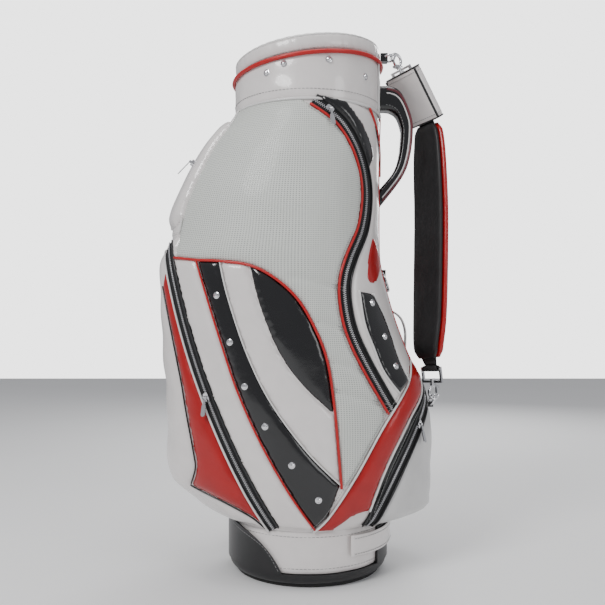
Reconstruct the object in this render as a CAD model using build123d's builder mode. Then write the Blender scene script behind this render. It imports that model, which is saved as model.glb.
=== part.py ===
from build123d import *
import math
import os

# Golf staff bag. Millimetres, +Z up. The origin is the centre of the sole on the floor.
# -X is the front with the ball pocket, +X is the spine with handle and strap,
# and the left side is -Y.

os.makedirs("parts", exist_ok=True)

# ---------------------------------------------------------------- driving dimensions
FIT = 0.3                    # gap between neighbouring pieces
SKIN = 4.0                   # thickness of padded leather walls

SOLE_RADIUS = 121.0
SOLE_HEIGHT = 5.0
TUB_RADIUS = 132.0           # outside of the tub's lip
TUB_WALL_RADIUS = 126.0      # outside of the tub's wall, behind the leather band
TUB_INNER_RADIUS = 120.0
TUB_FLOOR = 10.0
TUB_CORNER = 14.0
TUB_TOP = 90.0
BAND_BOTTOM = 22.0
GUARD_THICKNESS = 4.0

BARREL_RADIUS = 112.0        # stiff tube that carries the pockets
BARREL_WALL = 3.0
BARREL_TOP = 786.0

CUFF_RING_RADIUS = 118.0
CUFF_RADIUS = 122.0
CUFF_BOTTOM = 760.0
CUFF_TILT = 6.6              # degrees, the mouth is higher at the spine
ROLL_HEIGHT = 28.0
ROLL_DEPTH = 22.0
MOUTH_HEIGHT = 846.0         # centre of the padded roll
PIPING_RADIUS = 3.2

GRID_BOTTOM = BARREL_TOP + 0.5
GRID_HEIGHT = 18.0
GRID_BAR = 7.0
DIVIDER_OFFSET = 34.0        # cross bars at plus and minus this X
DIVIDER_SHEET = 2.4

PIN_RADIUS = 1.5
STUD_RADIUS = 5.5
STUD_HEIGHT = 3.0
WIRE = 2.2                   # wire radius of rings and hooks

# Height, front reach, half width and back reach of the sewn body.
SECTIONS = [
    (88, 134, 130, 134), (106, 164, 136, 196), (123, 188, 141, 201), (157, 228, 146, 203),
    (251, 234, 150, 203), (311, 236, 151, 191), (342, 239, 151, 174), (400, 242, 151, 150),
    (450, 245, 150, 134), (508, 246, 150, 120), (551, 231, 149, 118), (602, 218, 146, 118),
    (670, 184, 138, 118), (701, 165, 132, 119), (732, 138, 127, 120), (757, 123, 122, 121),
]
BODY_BOTTOM = SECTIONS[0][0]
BODY_TOP = SECTIONS[-1][0]

# Seam corners in the side view (X, Z). The grooves between panels follow them.
GROOVE = 12.0
FRONT_TOP = (-231, 543)      # front pocket zip
FRONT_MIDDLE = (-162, 306)
FRONT_END = (-53, 90)
SIDE_TOP = (8, 755)          # side zip, three arcs
SIDE_TURN = (66, 511)
SIDE_WAIST = (56, 440)
SIDE_END = (131, 273)
SIDE_ARC_RADIUS = 160
BAND_END = (6, 90)           # lower end of the diagonal band
REAR_END = (92, 90)          # rear pocket zip
REAR_MIDDLE = (146, 190)
REAR_TOP = (205, 300)
FAR = 262                    # beyond the body, front and back

LEFT, RIGHT = -1, 1
SIDES = {LEFT: "left", RIGHT: "right"}


def save(builder, name):
    """Label a finished piece and write it."""
    builder.part.label = name
    export_step(builder.part, f"parts/{name}.step")


# ---------------------------------------------------------------- base
with BuildPart() as base_sole:
    Cylinder(SOLE_RADIUS, SOLE_HEIGHT, align=(Align.CENTER, Align.CENTER, Align.MIN))
    chamfer(base_sole.edges().group_by(Axis.Z)[0], 1.0)
save(base_sole, "base_sole")

with BuildPart() as base_tub:
    with BuildSketch(Plane.XZ) as tub_profile:
        with BuildLine():
            Polyline(
                (0, SOLE_HEIGHT), (TUB_RADIUS, SOLE_HEIGHT), (TUB_RADIUS, BAND_BOTTOM),
                (TUB_WALL_RADIUS, BAND_BOTTOM), (TUB_WALL_RADIUS, TUB_TOP),
                (TUB_INNER_RADIUS, TUB_TOP), (TUB_INNER_RADIUS, TUB_FLOOR), (0, TUB_FLOOR),
                close=True,
            )
        make_face()
        lip_corner = tub_profile.vertices().group_by(Axis.Y)[0].sort_by(Axis.X)[-1]
        fillet(lip_corner, TUB_CORNER)
    revolve(axis=Axis.Z)
save(base_tub, "base_tub")

PAD_THICKNESS = 12.0         # foam disc that the grips land on
with BuildPart() as base_pad:
    with Locations((0, 0, TUB_FLOOR + FIT)):
        Cylinder(BARREL_RADIUS - BARREL_WALL - 0.5, PAD_THICKNESS, align=(Align.CENTER, Align.CENTER, Align.MIN))
save(base_pad, "base_pad")


def ring_wall(inner, outer, bottom, top, half_angle=180.0):
    """Upright ring wall, over the half angle each side of the spine."""
    with BuildPart() as wall:
        with BuildSketch(Plane.XZ.rotated((0, 0, -half_angle))):
            with Locations(((inner + outer) / 2, (bottom + top) / 2)):
                Rectangle(outer - inner, top - bottom)
        revolve(axis=Axis.Z, revolution_arc=2 * half_angle)
    return wall


BAND_OUTER = TUB_WALL_RADIUS + FIT + SKIN
GUARD_INNER = BAND_OUTER + FIT
GUARD_OUTER = GUARD_INNER + GUARD_THICKNESS

base_band = ring_wall(TUB_WALL_RADIUS + FIT, BAND_OUTER, BAND_BOTTOM + FIT, TUB_TOP)
save(base_band, "base_band")

guard_ring = ring_wall(GUARD_INNER, GUARD_OUTER, BAND_BOTTOM + FIT, TUB_TOP - 2)
with BuildPart() as toe_guard:
    add(guard_ring.part)
    with BuildSketch(Plane.XZ):
        with BuildLine():
            edge = ThreePointArc((-41, BAND_BOTTOM), (-68, 60), (-128, TUB_TOP))
            Polyline(edge @ 1, (-150, TUB_TOP), (-150, BAND_BOTTOM), edge @ 0)
        make_face()
    extrude(amount=150, both=True, mode=Mode.INTERSECT)
save(toe_guard, "toe_guard")

HEEL_HALF_ANGLE = 34.0
heel_guard = ring_wall(GUARD_INNER, GUARD_OUTER, BAND_BOTTOM + FIT, TUB_TOP - 8, HEEL_HALF_ANGLE)
save(heel_guard, "heel_guard")

GRAB_HALF_ANGLE = 62.0
GRAB_BOTTOM = 46.0
GRAB_WIDTH = 34.0
GRAB_THICKNESS = 3.5
GRAB_INNER = GUARD_OUTER + FIT
base_grab_strap = ring_wall(GRAB_INNER, GRAB_INNER + GRAB_THICKNESS, GRAB_BOTTOM, GRAB_BOTTOM + GRAB_WIDTH, GRAB_HALF_ANGLE)
save(base_grab_strap, "base_grab_strap")

# ---------------------------------------------------------------- barrel and its inside
body_barrel = ring_wall(BARREL_RADIUS - BARREL_WALL, BARREL_RADIUS, TUB_FLOOR + FIT, BARREL_TOP)
save(body_barrel, "body_barrel")

with BuildPart() as divider_grid:
    with BuildSketch(Plane.XY.offset(GRID_BOTTOM)):
        Circle(BARREL_RADIUS - 0.5)
        Circle(BARREL_RADIUS - 9, mode=Mode.SUBTRACT)
        Rectangle(2 * BARREL_RADIUS - 10, GRID_BAR)
        with Locations((-DIVIDER_OFFSET, 0), (DIVIDER_OFFSET, 0)):
            Rectangle(GRID_BAR, 2 * BARREL_RADIUS - 28)
    extrude(amount=GRID_HEIGHT)
save(divider_grid, "divider_grid")

PANEL_BOTTOM = TUB_FLOOR + 13
PANEL_TOP = GRID_BOTTOM - FIT
PANEL_REACH = BARREL_RADIUS - BARREL_WALL - 1.5
CROSS_REACH = math.sqrt(PANEL_REACH**2 - (DIVIDER_OFFSET + DIVIDER_SHEET)**2)
with BuildPart() as divider_panels:
    with BuildSketch(Plane.XY.offset(PANEL_BOTTOM)):
        with Locations((-DIVIDER_OFFSET, 0), (DIVIDER_OFFSET, 0)):
            Rectangle(DIVIDER_SHEET, 2 * CROSS_REACH)
        Rectangle(2 * (DIVIDER_OFFSET - DIVIDER_SHEET), DIVIDER_SHEET)
        end_length = PANEL_REACH - DIVIDER_OFFSET - DIVIDER_SHEET
        end_centre = DIVIDER_OFFSET + DIVIDER_SHEET + end_length / 2
        with Locations((-end_centre, 0), (end_centre, 0)):
            Rectangle(end_length, DIVIDER_SHEET)
    extrude(amount=PANEL_TOP - PANEL_BOTTOM)
save(divider_panels, "divider_panels")

ROD_RADIUS = 3.0
ROD_CIRCLE = BARREL_RADIUS - BARREL_WALL - ROD_RADIUS - FIT
ROD_ANGLES = (58, 122, 238, 302)
with BuildPart() as stay_rods:
    with BuildSketch(Plane.XY.offset(PANEL_BOTTOM)):
        for angle in ROD_ANGLES:
            with PolarLocations(ROD_CIRCLE, 1, start_angle=angle):
                Circle(ROD_RADIUS)
    extrude(amount=PANEL_TOP - PANEL_BOTTOM)
save(stay_rods, "stay_rods")


# ---------------------------------------------------------------- sewn body and pockets
def envelope(inset):
    """Solid body shape through the half-ellipse sections, shrunk by inset."""
    with BuildPart() as shape:
        for height, front, half_width, back in SECTIONS:
            with BuildSketch(Plane.XY.offset(height)):
                with BuildLine():
                    EllipticalCenterArc((0, 0), front - inset, half_width - inset, start_angle=90, arc_size=180)
                    EllipticalCenterArc((0, 0), back - inset, half_width - inset, start_angle=270, arc_size=180)
                make_face()
        loft()
    return shape.part


BODY = envelope(0)
POCKET_BORE = BARREL_RADIUS + 0.8
HALF = 200                   # more than the body's half width
MIDDLE_GAP = 0.5
SPINE_HALF_WIDTH = 28.0
SPINE_BOTTOM = 306.5
UPPER_HALF_WIDTH = 62.0
UPPER_BOTTOM = 566.0
UPPER_TOP = 742.0
UPPER_PROUD = 9.0            # how far the upper front pocket stands proud of the body
MIDDLE = (BODY_BOTTOM + BODY_TOP) / 2


def front_seam():
    seam = ThreePointArc(FRONT_END, FRONT_MIDDLE, FRONT_TOP)
    return Line(seam @ 1, (-FAR, FRONT_TOP[1]))


def side_seam():
    upper = RadiusArc(SIDE_TOP, SIDE_TURN, SIDE_ARC_RADIUS)
    waist = TangentArc(upper @ 1, SIDE_WAIST, tangent=upper % 1)
    lower = TangentArc(waist @ 1, SIDE_END, tangent=waist % 1)
    return Line(lower @ 1, BAND_END)


def rear_seam():
    seam = ThreePointArc(REAR_END, REAR_MIDDLE, REAR_TOP)
    return Line(seam @ 1, (FAR, REAR_TOP[1]))


def front_outline():
    top = front_seam()
    Polyline(top @ 1, (-FAR, FRONT_END[1]), FRONT_END)


def side_outline():
    band = side_seam()
    Line(band @ 1, FRONT_END)
    top = front_seam()
    Polyline(top @ 1, (-FAR, SIDE_TOP[1]), SIDE_TOP)


def gusset_outline():
    band = side_seam()
    Line(band @ 1, REAR_END)
    top = rear_seam()
    Polyline(top @ 1, (FAR, SIDE_TOP[1]), SIDE_TOP)


def rear_outline():
    top = rear_seam()
    Polyline(top @ 1, (FAR, REAR_END[1]), REAR_END)


with BuildPart() as grooves:
    for seam_line in (front_seam, side_seam, rear_seam):
        with BuildSketch(Plane.XZ):
            with BuildLine():
                seam_line()
            trace(line_width=GROOVE)
        extrude(amount=HALF, both=True)


def pocket(outline):
    """The part of the sewn body inside one outline, bored to pass the barrel."""
    with BuildPart() as region:
        with BuildSketch(Plane.XZ):
            with BuildLine():
                outline()
            make_face()
        extrude(amount=HALF, both=True)
    with BuildPart() as piece:
        add(BODY)
        add(region.part, mode=Mode.INTERSECT)
        add(grooves.part, mode=Mode.SUBTRACT)
        with Locations((0, 0, MIDDLE)):
            Cylinder(POCKET_BORE, BODY_TOP, mode=Mode.SUBTRACT)
    return piece


front_pocket = pocket(front_outline)
save(front_pocket, "front_pocket")

rear_pocket = pocket(rear_outline)
save(rear_pocket, "rear_pocket")

# The upper front pocket stands proud of the body between the two side pockets.
proud_body = envelope(-UPPER_PROUD)
with BuildPart() as upper_front_pocket:
    add(proud_body)
    with Locations((-FAR / 2, 0, (UPPER_BOTTOM + UPPER_TOP) / 2)):
        Box(FAR, 2 * UPPER_HALF_WIDTH, UPPER_TOP - UPPER_BOTTOM, mode=Mode.INTERSECT)
    fillet(upper_front_pocket.edges().filter_by(Axis.X), 14)
    with Locations((0, 0, MIDDLE)):
        Cylinder(POCKET_BORE, BODY_TOP, mode=Mode.SUBTRACT)
save(upper_front_pocket, "upper_front_pocket")

with BuildPart() as spine_panel:
    add(BODY)
    with Locations((FAR / 2, 0, (SPINE_BOTTOM + BODY_TOP - 4) / 2)):
        Box(FAR, 2 * SPINE_HALF_WIDTH, BODY_TOP - 4 - SPINE_BOTTOM, mode=Mode.INTERSECT)
    with Locations((0, 0, MIDDLE)):
        Cylinder(POCKET_BORE, BODY_TOP, mode=Mode.SUBTRACT)
save(spine_panel, "spine_panel")

side_panel = pocket(side_outline)
gusset_panel = pocket(gusset_outline)
for side, side_name in SIDES.items():
    half_centre = (0, side * (HALF / 2 + MIDDLE_GAP), MIDDLE)
    with BuildPart() as side_pocket:
        add(side_panel.part)
        with Locations(half_centre):
            Box(3 * FAR, HALF, BODY_TOP, mode=Mode.INTERSECT)
        with Locations((-FAR / 2, 0, UPPER_BOTTOM - 1)):
            Box(FAR, 2 * UPPER_HALF_WIDTH + 2, FAR, align=(Align.CENTER, Align.CENTER, Align.MIN),
                mode=Mode.SUBTRACT)
    save(side_pocket, f"side_pocket_{side_name}")
    with BuildPart() as side_gusset:
        add(gusset_panel.part)
        with Locations(half_centre):
            Box(3 * FAR, HALF, BODY_TOP, mode=Mode.INTERSECT)
        with Locations((0, 0, SPINE_BOTTOM - 10)):
            Box(FAR, 2 * SPINE_HALF_WIDTH + 2, 2 * FAR, align=(Align.MIN, Align.CENTER, Align.MIN),
                mode=Mode.SUBTRACT)
    save(side_gusset, f"side_gusset_{side_name}")


def surface(x, z, side):
    """Point and outward normal of the body at side-view position (x, z)."""
    hits = BODY.find_intersection_points(Axis((x, 0, z), (0, side, 0)))
    return max(hits, key=lambda hit: side * hit[0].Y)


# ---------------------------------------------------------------- cuff
tilt = math.radians(CUFF_TILT)
RIM = Plane(
    origin=(0, 0, MOUTH_HEIGHT),
    x_dir=(math.cos(tilt), 0, math.sin(tilt)),
    z_dir=(-math.sin(tilt), 0, math.cos(tilt)),
)
RIM_SECTION = Plane(origin=RIM.origin, x_dir=RIM.x_dir, z_dir=(0, -1, 0))
RIM_AXIS = Axis(RIM.origin, RIM.z_dir)
COVER_TOP = -ROLL_HEIGHT / 2 - FIT           # below the middle of the roll


def cuff_wall(inner, outer):
    """Wall from the cuff's lower edge up to the tilted underside of the roll."""
    with BuildPart() as wall:
        with BuildSketch(Plane.XY.offset(CUFF_BOTTOM)):
            Circle(outer)
            Circle(inner, mode=Mode.SUBTRACT)
        extrude(amount=MOUTH_HEIGHT)
        split(bisect_by=RIM.offset(COVER_TOP), keep=Keep.BOTTOM)
    return wall


cuff_ring = cuff_wall(BARREL_RADIUS + FIT, CUFF_RING_RADIUS)
save(cuff_ring, "cuff_ring")

cuff_cover = cuff_wall(CUFF_RING_RADIUS + FIT, CUFF_RADIUS)
save(cuff_cover, "cuff_cover")

with BuildPart() as cuff_roll:
    with BuildSketch(RIM_SECTION):
        with Locations((CUFF_RADIUS - ROLL_DEPTH / 2 + 1, 0)):
            RectangleRounded(ROLL_DEPTH, ROLL_HEIGHT, 9)
    revolve(axis=RIM_AXIS)
save(cuff_roll, "cuff_roll")

piping_centre = Vector(0, 0, MOUTH_HEIGHT + COVER_TOP - PIPING_RADIUS - 1.5)
with BuildPart() as cuff_piping:
    with BuildSketch(Plane(origin=piping_centre, x_dir=RIM.x_dir, z_dir=(0, -1, 0))):
        with Locations((CUFF_RADIUS + PIPING_RADIUS + 1.3, 0)):
            Circle(PIPING_RADIUS)
    revolve(axis=Axis(piping_centre, RIM.z_dir))
save(cuff_piping, "cuff_piping")

# ---------------------------------------------------------------- studs
CUFF_STUDS = [(238, 802), (252, 812), (285, 818), (318, 803)]       # angle about Z, height
BAND_STUDS = [(-140, 452), (-119, 380), (-96, 313), (-65, 253), (-25, 195), (15, 142)]
REAR_STUDS = [(96, 440), (116, 387), (134, 340)]


def stud_plane(point, normal):
    return Plane(origin=point + normal * 0.1, z_dir=normal)


stud_planes = []
for side in SIDES:
    for angle, height in CUFF_STUDS:
        turn = math.radians(angle)
        outward = Vector(math.cos(turn), -side * math.sin(turn), 0)
        stud_planes.append(stud_plane(outward * CUFF_RADIUS + Vector(0, 0, height), outward))
    for x, z in BAND_STUDS + REAR_STUDS:
        stud_planes.append(stud_plane(*surface(x, z, side)))

with BuildPart() as studs:
    for plane in stud_planes:
        with BuildSketch(plane):
            Circle(STUD_RADIUS)
        extrude(amount=STUD_HEIGHT, taper=25)
save(studs, "studs")

# ---------------------------------------------------------------- lift handle
HANDLE_HALF_WIDTH = 17.0
CUFF_BACK = CUFF_RADIUS + FIT


def handle_outline():
    """Side view of the loop, from the cuff over the finger gap to the spine."""
    over = ThreePointArc((CUFF_BACK, 812), (158, 800), (179, 742))
    down = ThreePointArc(over @ 1, (169, 672), (119.5, 602))
    Line(down @ 1, (119.5, 636))
    inside = ThreePointArc((119.5, 636), (150, 678), (158, 735))
    root = ThreePointArc(inside @ 1, (148, 764), (CUFF_BACK, 768))
    Line(root @ 1, over @ 0)


with BuildPart() as handle_cover:
    with BuildSketch(Plane.XZ):
        with BuildLine():
            handle_outline()
        make_face()
    extrude(amount=HANDLE_HALF_WIDTH, both=True)
    with BuildSketch(Plane.XZ):
        with BuildLine():
            core_line = ThreePointArc((CUFF_BACK + 6, 790), (166, 742), (128, 630))
        trace(line_width=6)
    extrude(amount=12.2, both=True, mode=Mode.SUBTRACT)
save(handle_cover, "handle_cover")

with BuildPart() as handle_core:
    with BuildSketch(Plane.XZ):
        with BuildLine():
            ThreePointArc((CUFF_BACK + 6, 790), (166, 742), (128, 630))
        trace(line_width=5.4)
    extrude(amount=12, both=True)
save(handle_core, "handle_core")

# ---------------------------------------------------------------- strap rings and their tabs
RING_STRAIGHT = 16.0
RING_BEND = 8.5
TAB_HALF_WIDTH = 7.5
TOP_BAR = Vector(131.5, 0, 861)              # the ring's bar inside its tab
TOP_RING_ANGLE = 5                          # degrees above level, the way the ring points
LOW_BAR = Vector(208.5, 0, 271)
LOW_RING_ANGLE = 63
LOW_TAB_TOP = 322.0


def ring_reach(angle):
    """Step from the ring's inner bar to its outer bar."""
    turn = math.radians(angle)
    return Vector(math.cos(turn), 0, math.sin(turn)) * (2 * RING_BEND)


def loop_ring(bar, angle, wire=WIRE):
    """Oblong wire ring that starts at the bar along Y."""
    reach = ring_reach(angle)
    plane = Plane(origin=bar + reach / 2, x_dir=reach.normalized(), z_dir=Vector(0, 1, 0).cross(reach))
    with BuildPart() as ring:
        with BuildLine(plane) as path:
            first = Line((-RING_BEND, -RING_STRAIGHT / 2), (-RING_BEND, RING_STRAIGHT / 2))
            far_end = ThreePointArc(
                first @ 1, (0, RING_STRAIGHT / 2 + RING_BEND), (RING_BEND, RING_STRAIGHT / 2))
            second = Line(far_end @ 1, (RING_BEND, -RING_STRAIGHT / 2))
            ThreePointArc(second @ 1, (0, -RING_STRAIGHT / 2 - RING_BEND), first @ 0)
        with BuildSketch(Plane(origin=path.line @ 0, z_dir=path.line % 0)):
            Circle(wire)
        sweep(path=path.line)
    return ring


upper_d_ring = loop_ring(TOP_BAR, TOP_RING_ANGLE)
save(upper_d_ring, "upper_d_ring")
lower_d_ring = loop_ring(LOW_BAR, LOW_RING_ANGLE)
save(lower_d_ring, "lower_d_ring")

body_clearance = envelope(-0.4)
tab_outside = envelope(-3.6)
with BuildPart() as ring_tabs:
    with Locations((CUFF_RADIUS + 1.6, 0, TOP_BAR.Z)):
        Box(12.5, 2 * TAB_HALF_WIDTH, 14, align=(Align.MIN, Align.CENTER, Align.CENTER))
    with BuildSketch(Plane.XZ):
        with Locations((TOP_BAR.X, TOP_BAR.Z), (LOW_BAR.X, LOW_BAR.Z)):
            Circle(WIRE + FIT)
    extrude(amount=RING_STRAIGHT, both=True, mode=Mode.SUBTRACT)
with BuildPart() as low_tab:
    add(tab_outside)
    with Locations((FAR / 2 + 50, 0, (LOW_BAR.Z + LOW_TAB_TOP) / 2)):
        Box(FAR, 2 * TAB_HALF_WIDTH, LOW_TAB_TOP - LOW_BAR.Z, mode=Mode.INTERSECT)
    with Locations((LOW_BAR.X - 4, 0, LOW_BAR.Z)):
        Box(17, 2 * TAB_HALF_WIDTH, 9)
    add(body_clearance, mode=Mode.SUBTRACT)
    with BuildSketch(Plane.XZ):
        with Locations((LOW_BAR.X, LOW_BAR.Z)):
            Circle(WIRE + FIT)
    extrude(amount=RING_STRAIGHT, both=True, mode=Mode.SUBTRACT)
TOWEL_BAR = Vector(128, 0, 492)
TOWEL_RADIUS = 15.0
TOWEL_WIRE = 2.0
with BuildPart() as towel_tab:
    with Locations((TOWEL_BAR.X - 1, 0, TOWEL_BAR.Z)):
        Box(12, 8, 15)
    add(body_clearance, mode=Mode.SUBTRACT)
    with BuildSketch(Plane.XZ):
        with Locations((TOWEL_BAR.X, TOWEL_BAR.Z)):
            Circle(TOWEL_WIRE + 0.9)
    extrude(amount=RING_STRAIGHT, both=True, mode=Mode.SUBTRACT)
with BuildPart() as all_tabs:
    add(ring_tabs.part)
    add(low_tab.part)
    add(towel_tab.part)
save(all_tabs, "ring_tabs")

# ---------------------------------------------------------------- towel ring and leather loop
TOWEL_DROP = Vector(0.34, 0, -1).normalized()          # the way the ring rests on the hip
with BuildPart() as towel_ring:
    with Locations(Plane(origin=TOWEL_BAR + TOWEL_DROP * TOWEL_RADIUS, x_dir=(0, 1, 0),
                         z_dir=TOWEL_DROP.cross(Vector(0, 1, 0)))):
        Torus(TOWEL_RADIUS, TOWEL_WIRE)
save(towel_ring, "towel_ring")

with BuildPart() as leather_loop:
    with BuildSketch(Plane.XZ):
        with BuildLine():
            ThreePointArc((142, 430), (166, 404), (166, 366))
        trace(line_width=2.5)
    extrude(amount=9, both=True)
    add(body_clearance, mode=Mode.SUBTRACT)
save(leather_loop, "leather_loop")

# ---------------------------------------------------------------- strap frame
TWIST = 33.0                 # degrees, how far the strap turns its inner face to the left
SWING_TOP = TOP_BAR + ring_reach(TOP_RING_ANGLE)
SWING_LOW = LOW_BAR + ring_reach(LOW_RING_ANGLE)
upward = (SWING_TOP - SWING_LOW).normalized()
twist = math.radians(TWIST)
across = Vector(math.sin(twist), -math.cos(twist), 0)
across = (across - upward * across.dot(upward)).normalized()
STRAP = Plane(origin=SWING_LOW, x_dir=upward.cross(across), z_dir=across)
SWING_LENGTH = (SWING_TOP - SWING_LOW).length
TOP_SLOPE = Vector(0.462, -0.887, 0).normalized()       # strap frame, down from the top ring
TOP_DIRECTION = STRAP.x_dir * TOP_SLOPE.X + STRAP.y_dir * TOP_SLOPE.Y
HOOKS = {
    "lower": STRAP,
    "upper": Plane(origin=SWING_TOP, x_dir=TOP_DIRECTION.cross(across), z_dir=across),
}

# ---------------------------------------------------------------- swivel snap hooks
JAW_CENTRE = 5.0             # from the ring's bar, along the hook
JAW_RADIUS = 10.8
JAW_WIRE = 2.5
JAW_START, JAW_SWEEP = 62, 262               # degrees, the gap is closed by the gate
GATE_TOP, GATE_TIP = 50, -26
GATE_TIP_RADIUS = 6.6        # the gate closes on the inside of the hook's nose
GATE_WIDTH = 2.4
CHEEK = 57                   # plates that carry the gate's pin
STEM_TOP = 28.0
STEM_RADIUS = 2.5
EYE_HALF_WIDTH = 24.0
EYE_BOTTOM = 21.0
EYE_BAR = 46.0               # from the ring's bar to the bar that holds the webbing
EYE_THICKNESS = 4.0


def jaw_point(angle, radius=JAW_RADIUS):
    turn = math.radians(angle)
    return (radius * math.cos(turn), JAW_CENTRE + radius * math.sin(turn))


def hook_pieces(plane):
    """Hook body, spring gate and swivel eye in one plane, with the ring's bar at its origin."""
    centre = plane.from_local_coords((0, JAW_CENTRE, 0))
    along = Axis(plane.origin, plane.y_dir)
    pivot = jaw_point(GATE_TOP)
    with BuildPart() as hook:
        start = Plane(
            origin=plane.from_local_coords((*jaw_point(JAW_START), 0)),
            z_dir=plane.z_dir.cross(plane.from_local_coords((*jaw_point(JAW_START), 0)) - centre),
        )
        with BuildSketch(start):
            Circle(JAW_WIRE)
        revolve(axis=Axis(centre, plane.z_dir), revolution_arc=JAW_SWEEP)
        with BuildSketch(plane):
            with BuildLine():
                Polyline((0, 17.5), (5.5, 17.5), (5.5, 20.5), (STEM_RADIUS, 20.5), (STEM_RADIUS, STEM_TOP - 2.7),
                         (4.4, STEM_TOP - 2.7), (4.4, STEM_TOP), (0, STEM_TOP), close=True)
            make_face()
        revolve(axis=along)
        with BuildSketch(plane):
            with Locations(pivot):
                Circle(0.9)
        extrude(amount=4.4, both=True)
        for cheek in (-1, 1):
            with BuildSketch(plane.offset(cheek * 3.1)):
                with Locations(jaw_point(CHEEK)):
                    SlotCenterToCenter(5.2, 4.4, rotation=CHEEK + 90)
            extrude(amount=0.9, both=True)
    with BuildPart() as gate:
        with BuildSketch(plane):
            with BuildLine():
                Line(pivot, jaw_point(GATE_TIP, GATE_TIP_RADIUS))
            trace(line_width=GATE_WIDTH)
            with Locations(pivot):
                Circle(2.0)
                Circle(0.95, mode=Mode.SUBTRACT)
        extrude(amount=1.8, both=True)
    eye_plane = Plane(origin=plane.origin, x_dir=plane.z_dir, z_dir=-plane.x_dir)
    with BuildPart() as eye:
        with BuildSketch(eye_plane):
            with Locations((0, (EYE_BOTTOM + EYE_BAR + 2) / 2)):
                Rectangle(2 * EYE_HALF_WIDTH, EYE_BAR + 2 - EYE_BOTTOM)
                Rectangle(2 * EYE_HALF_WIDTH - 8, EYE_BAR - 6 - EYE_BOTTOM, mode=Mode.SUBTRACT)
        extrude(amount=EYE_THICKNESS / 2, both=True)
        with BuildSketch(plane):
            with Locations((2.5, EYE_BOTTOM + 2)):
                Rectangle(5, 4)
        revolve(axis=along)
        with BuildSketch(plane):
            with Locations(((STEM_RADIUS + 0.05) / 2, EYE_BOTTOM + 2)):
                Rectangle(STEM_RADIUS + 0.05, 6)
        revolve(axis=along, mode=Mode.SUBTRACT)
    return hook, gate, eye


for hook_name, hook_plane in HOOKS.items():
    hook, gate, eye = hook_pieces(hook_plane)
    save(hook, f"{hook_name}_hook")
    save(gate, f"{hook_name}_hook_gate")
    save(eye, f"{hook_name}_hook_eye")

# ---------------------------------------------------------------- shoulder strap
WEBBING_WIDTH = 38.0
WEBBING_THICKNESS = 3.0
PAD_WIDTH = 70.0
STRAP_WIDTH = 75.0
LAYER = 6.0                  # from the webbing's middle to the middle of each outer layer
LAYER_THICKNESS = 5.0
PAD_LOW, PAD_HIGH = 62.0, 450.0
SLEEVE_START, SLEEVE_END = 28.0, 122.0       # along the top slope, from the top ring
STRAP_BOW = [(-2, 85), (9, 136), (27, 236), (40, 315), (50, 400), (58, 468)]

low_bar = Vector(0, EYE_BAR)
top_bar = Vector(0, SWING_LENGTH) + TOP_SLOPE * EYE_BAR


def strap_line(shift=0.0):
    """Middle line of the strap in its own frame, moved outward by shift."""
    start = low_bar + Vector(shift, 4)
    bow = [Vector(u + shift, s) for u, s in STRAP_BOW]
    lower = Spline(start, *bow, tangents=[(0, 1), -TOP_SLOPE])
    end = top_bar + TOP_SLOPE * 4 + Vector(shift, 0)
    return Line(lower @ 1, end)


def strap_layer(shift, thickness, width):
    with BuildPart() as layer:
        with BuildSketch(STRAP):
            with BuildLine():
                strap_line(shift)
            trace(line_width=thickness)
        extrude(amount=width / 2, both=True)
    return layer


webbing_band = strap_layer(0, WEBBING_THICKNESS, WEBBING_WIDTH)
with BuildPart() as strap_webbing:
    add(webbing_band.part)
    with BuildSketch(STRAP):
        with Locations(low_bar, top_bar):
            Circle(6.2)
    extrude(amount=WEBBING_WIDTH / 2, both=True)
    with BuildSketch(STRAP):
        with Locations(low_bar, top_bar):
            Circle(3.2)
    extrude(amount=WEBBING_WIDTH, both=True, mode=Mode.SUBTRACT)
save(strap_webbing, "strap_webbing")

for layer_name, shift, width in (("strap_pad", -LAYER, PAD_WIDTH), ("strap_shell", LAYER, STRAP_WIDTH)):
    whole_layer = strap_layer(shift, LAYER_THICKNESS, width)
    with BuildPart() as layer:
        add(whole_layer.part)
        with BuildSketch(STRAP):
            with Locations((0, (PAD_LOW + PAD_HIGH) / 2)):
                Rectangle(300, PAD_HIGH - PAD_LOW)
        extrude(amount=STRAP_WIDTH, both=True, mode=Mode.INTERSECT)
    save(layer, layer_name)

SLEEVE_PLANE = Plane(origin=SWING_TOP, x_dir=across, z_dir=TOP_DIRECTION)
with BuildPart() as strap_cover:
    with BuildSketch(SLEEVE_PLANE.offset(SLEEVE_START)):
        RectangleRounded(STRAP_WIDTH + 2, 19, 6)
        Rectangle(2 * EYE_HALF_WIDTH + 3, 13.5, mode=Mode.SUBTRACT)
    extrude(amount=SLEEVE_END - SLEEVE_START)
save(strap_cover, "strap_cover")

# ---------------------------------------------------------------- zips
TEETH_RADIUS = 1.5
SLIDER_LENGTH, SLIDER_WIDTH = 13.0, 9.0
SLIDER_LOW, SLIDER_HIGH = -3.2, 3.8          # from the teeth, along the outward normal
PIN_HEIGHT = 6.3
PULLER_LENGTH = 30.0
PULLER_TILT = 15.0           # degrees, how far a hanging puller stands off the skin
UPPER_ZIP_HEIGHT = 672.0
UPPER_ZIP_LIFT = 4.6


def on_side(arc, fraction, side):
    """Point and normal of the body where a side-view arc has run a fraction of its length."""
    spot = arc @ fraction
    return surface(spot.X, spot.Y, side)


def on_upper_pocket(y):
    hits = proud_body.find_intersection_points(Axis((0, y, UPPER_ZIP_HEIGHT), (-1, 0, 0)))
    point, normal = min(hits, key=lambda hit: hit[0].X)
    return point + normal * UPPER_ZIP_LIFT, normal


front_arc = ThreePointArc(FRONT_TOP, FRONT_MIDDLE, FRONT_END)
side_arc = RadiusArc(SIDE_TOP, SIDE_TURN, SIDE_ARC_RADIUS)
rear_arc = ThreePointArc(REAR_TOP, REAR_MIDDLE, REAR_END)

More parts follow.
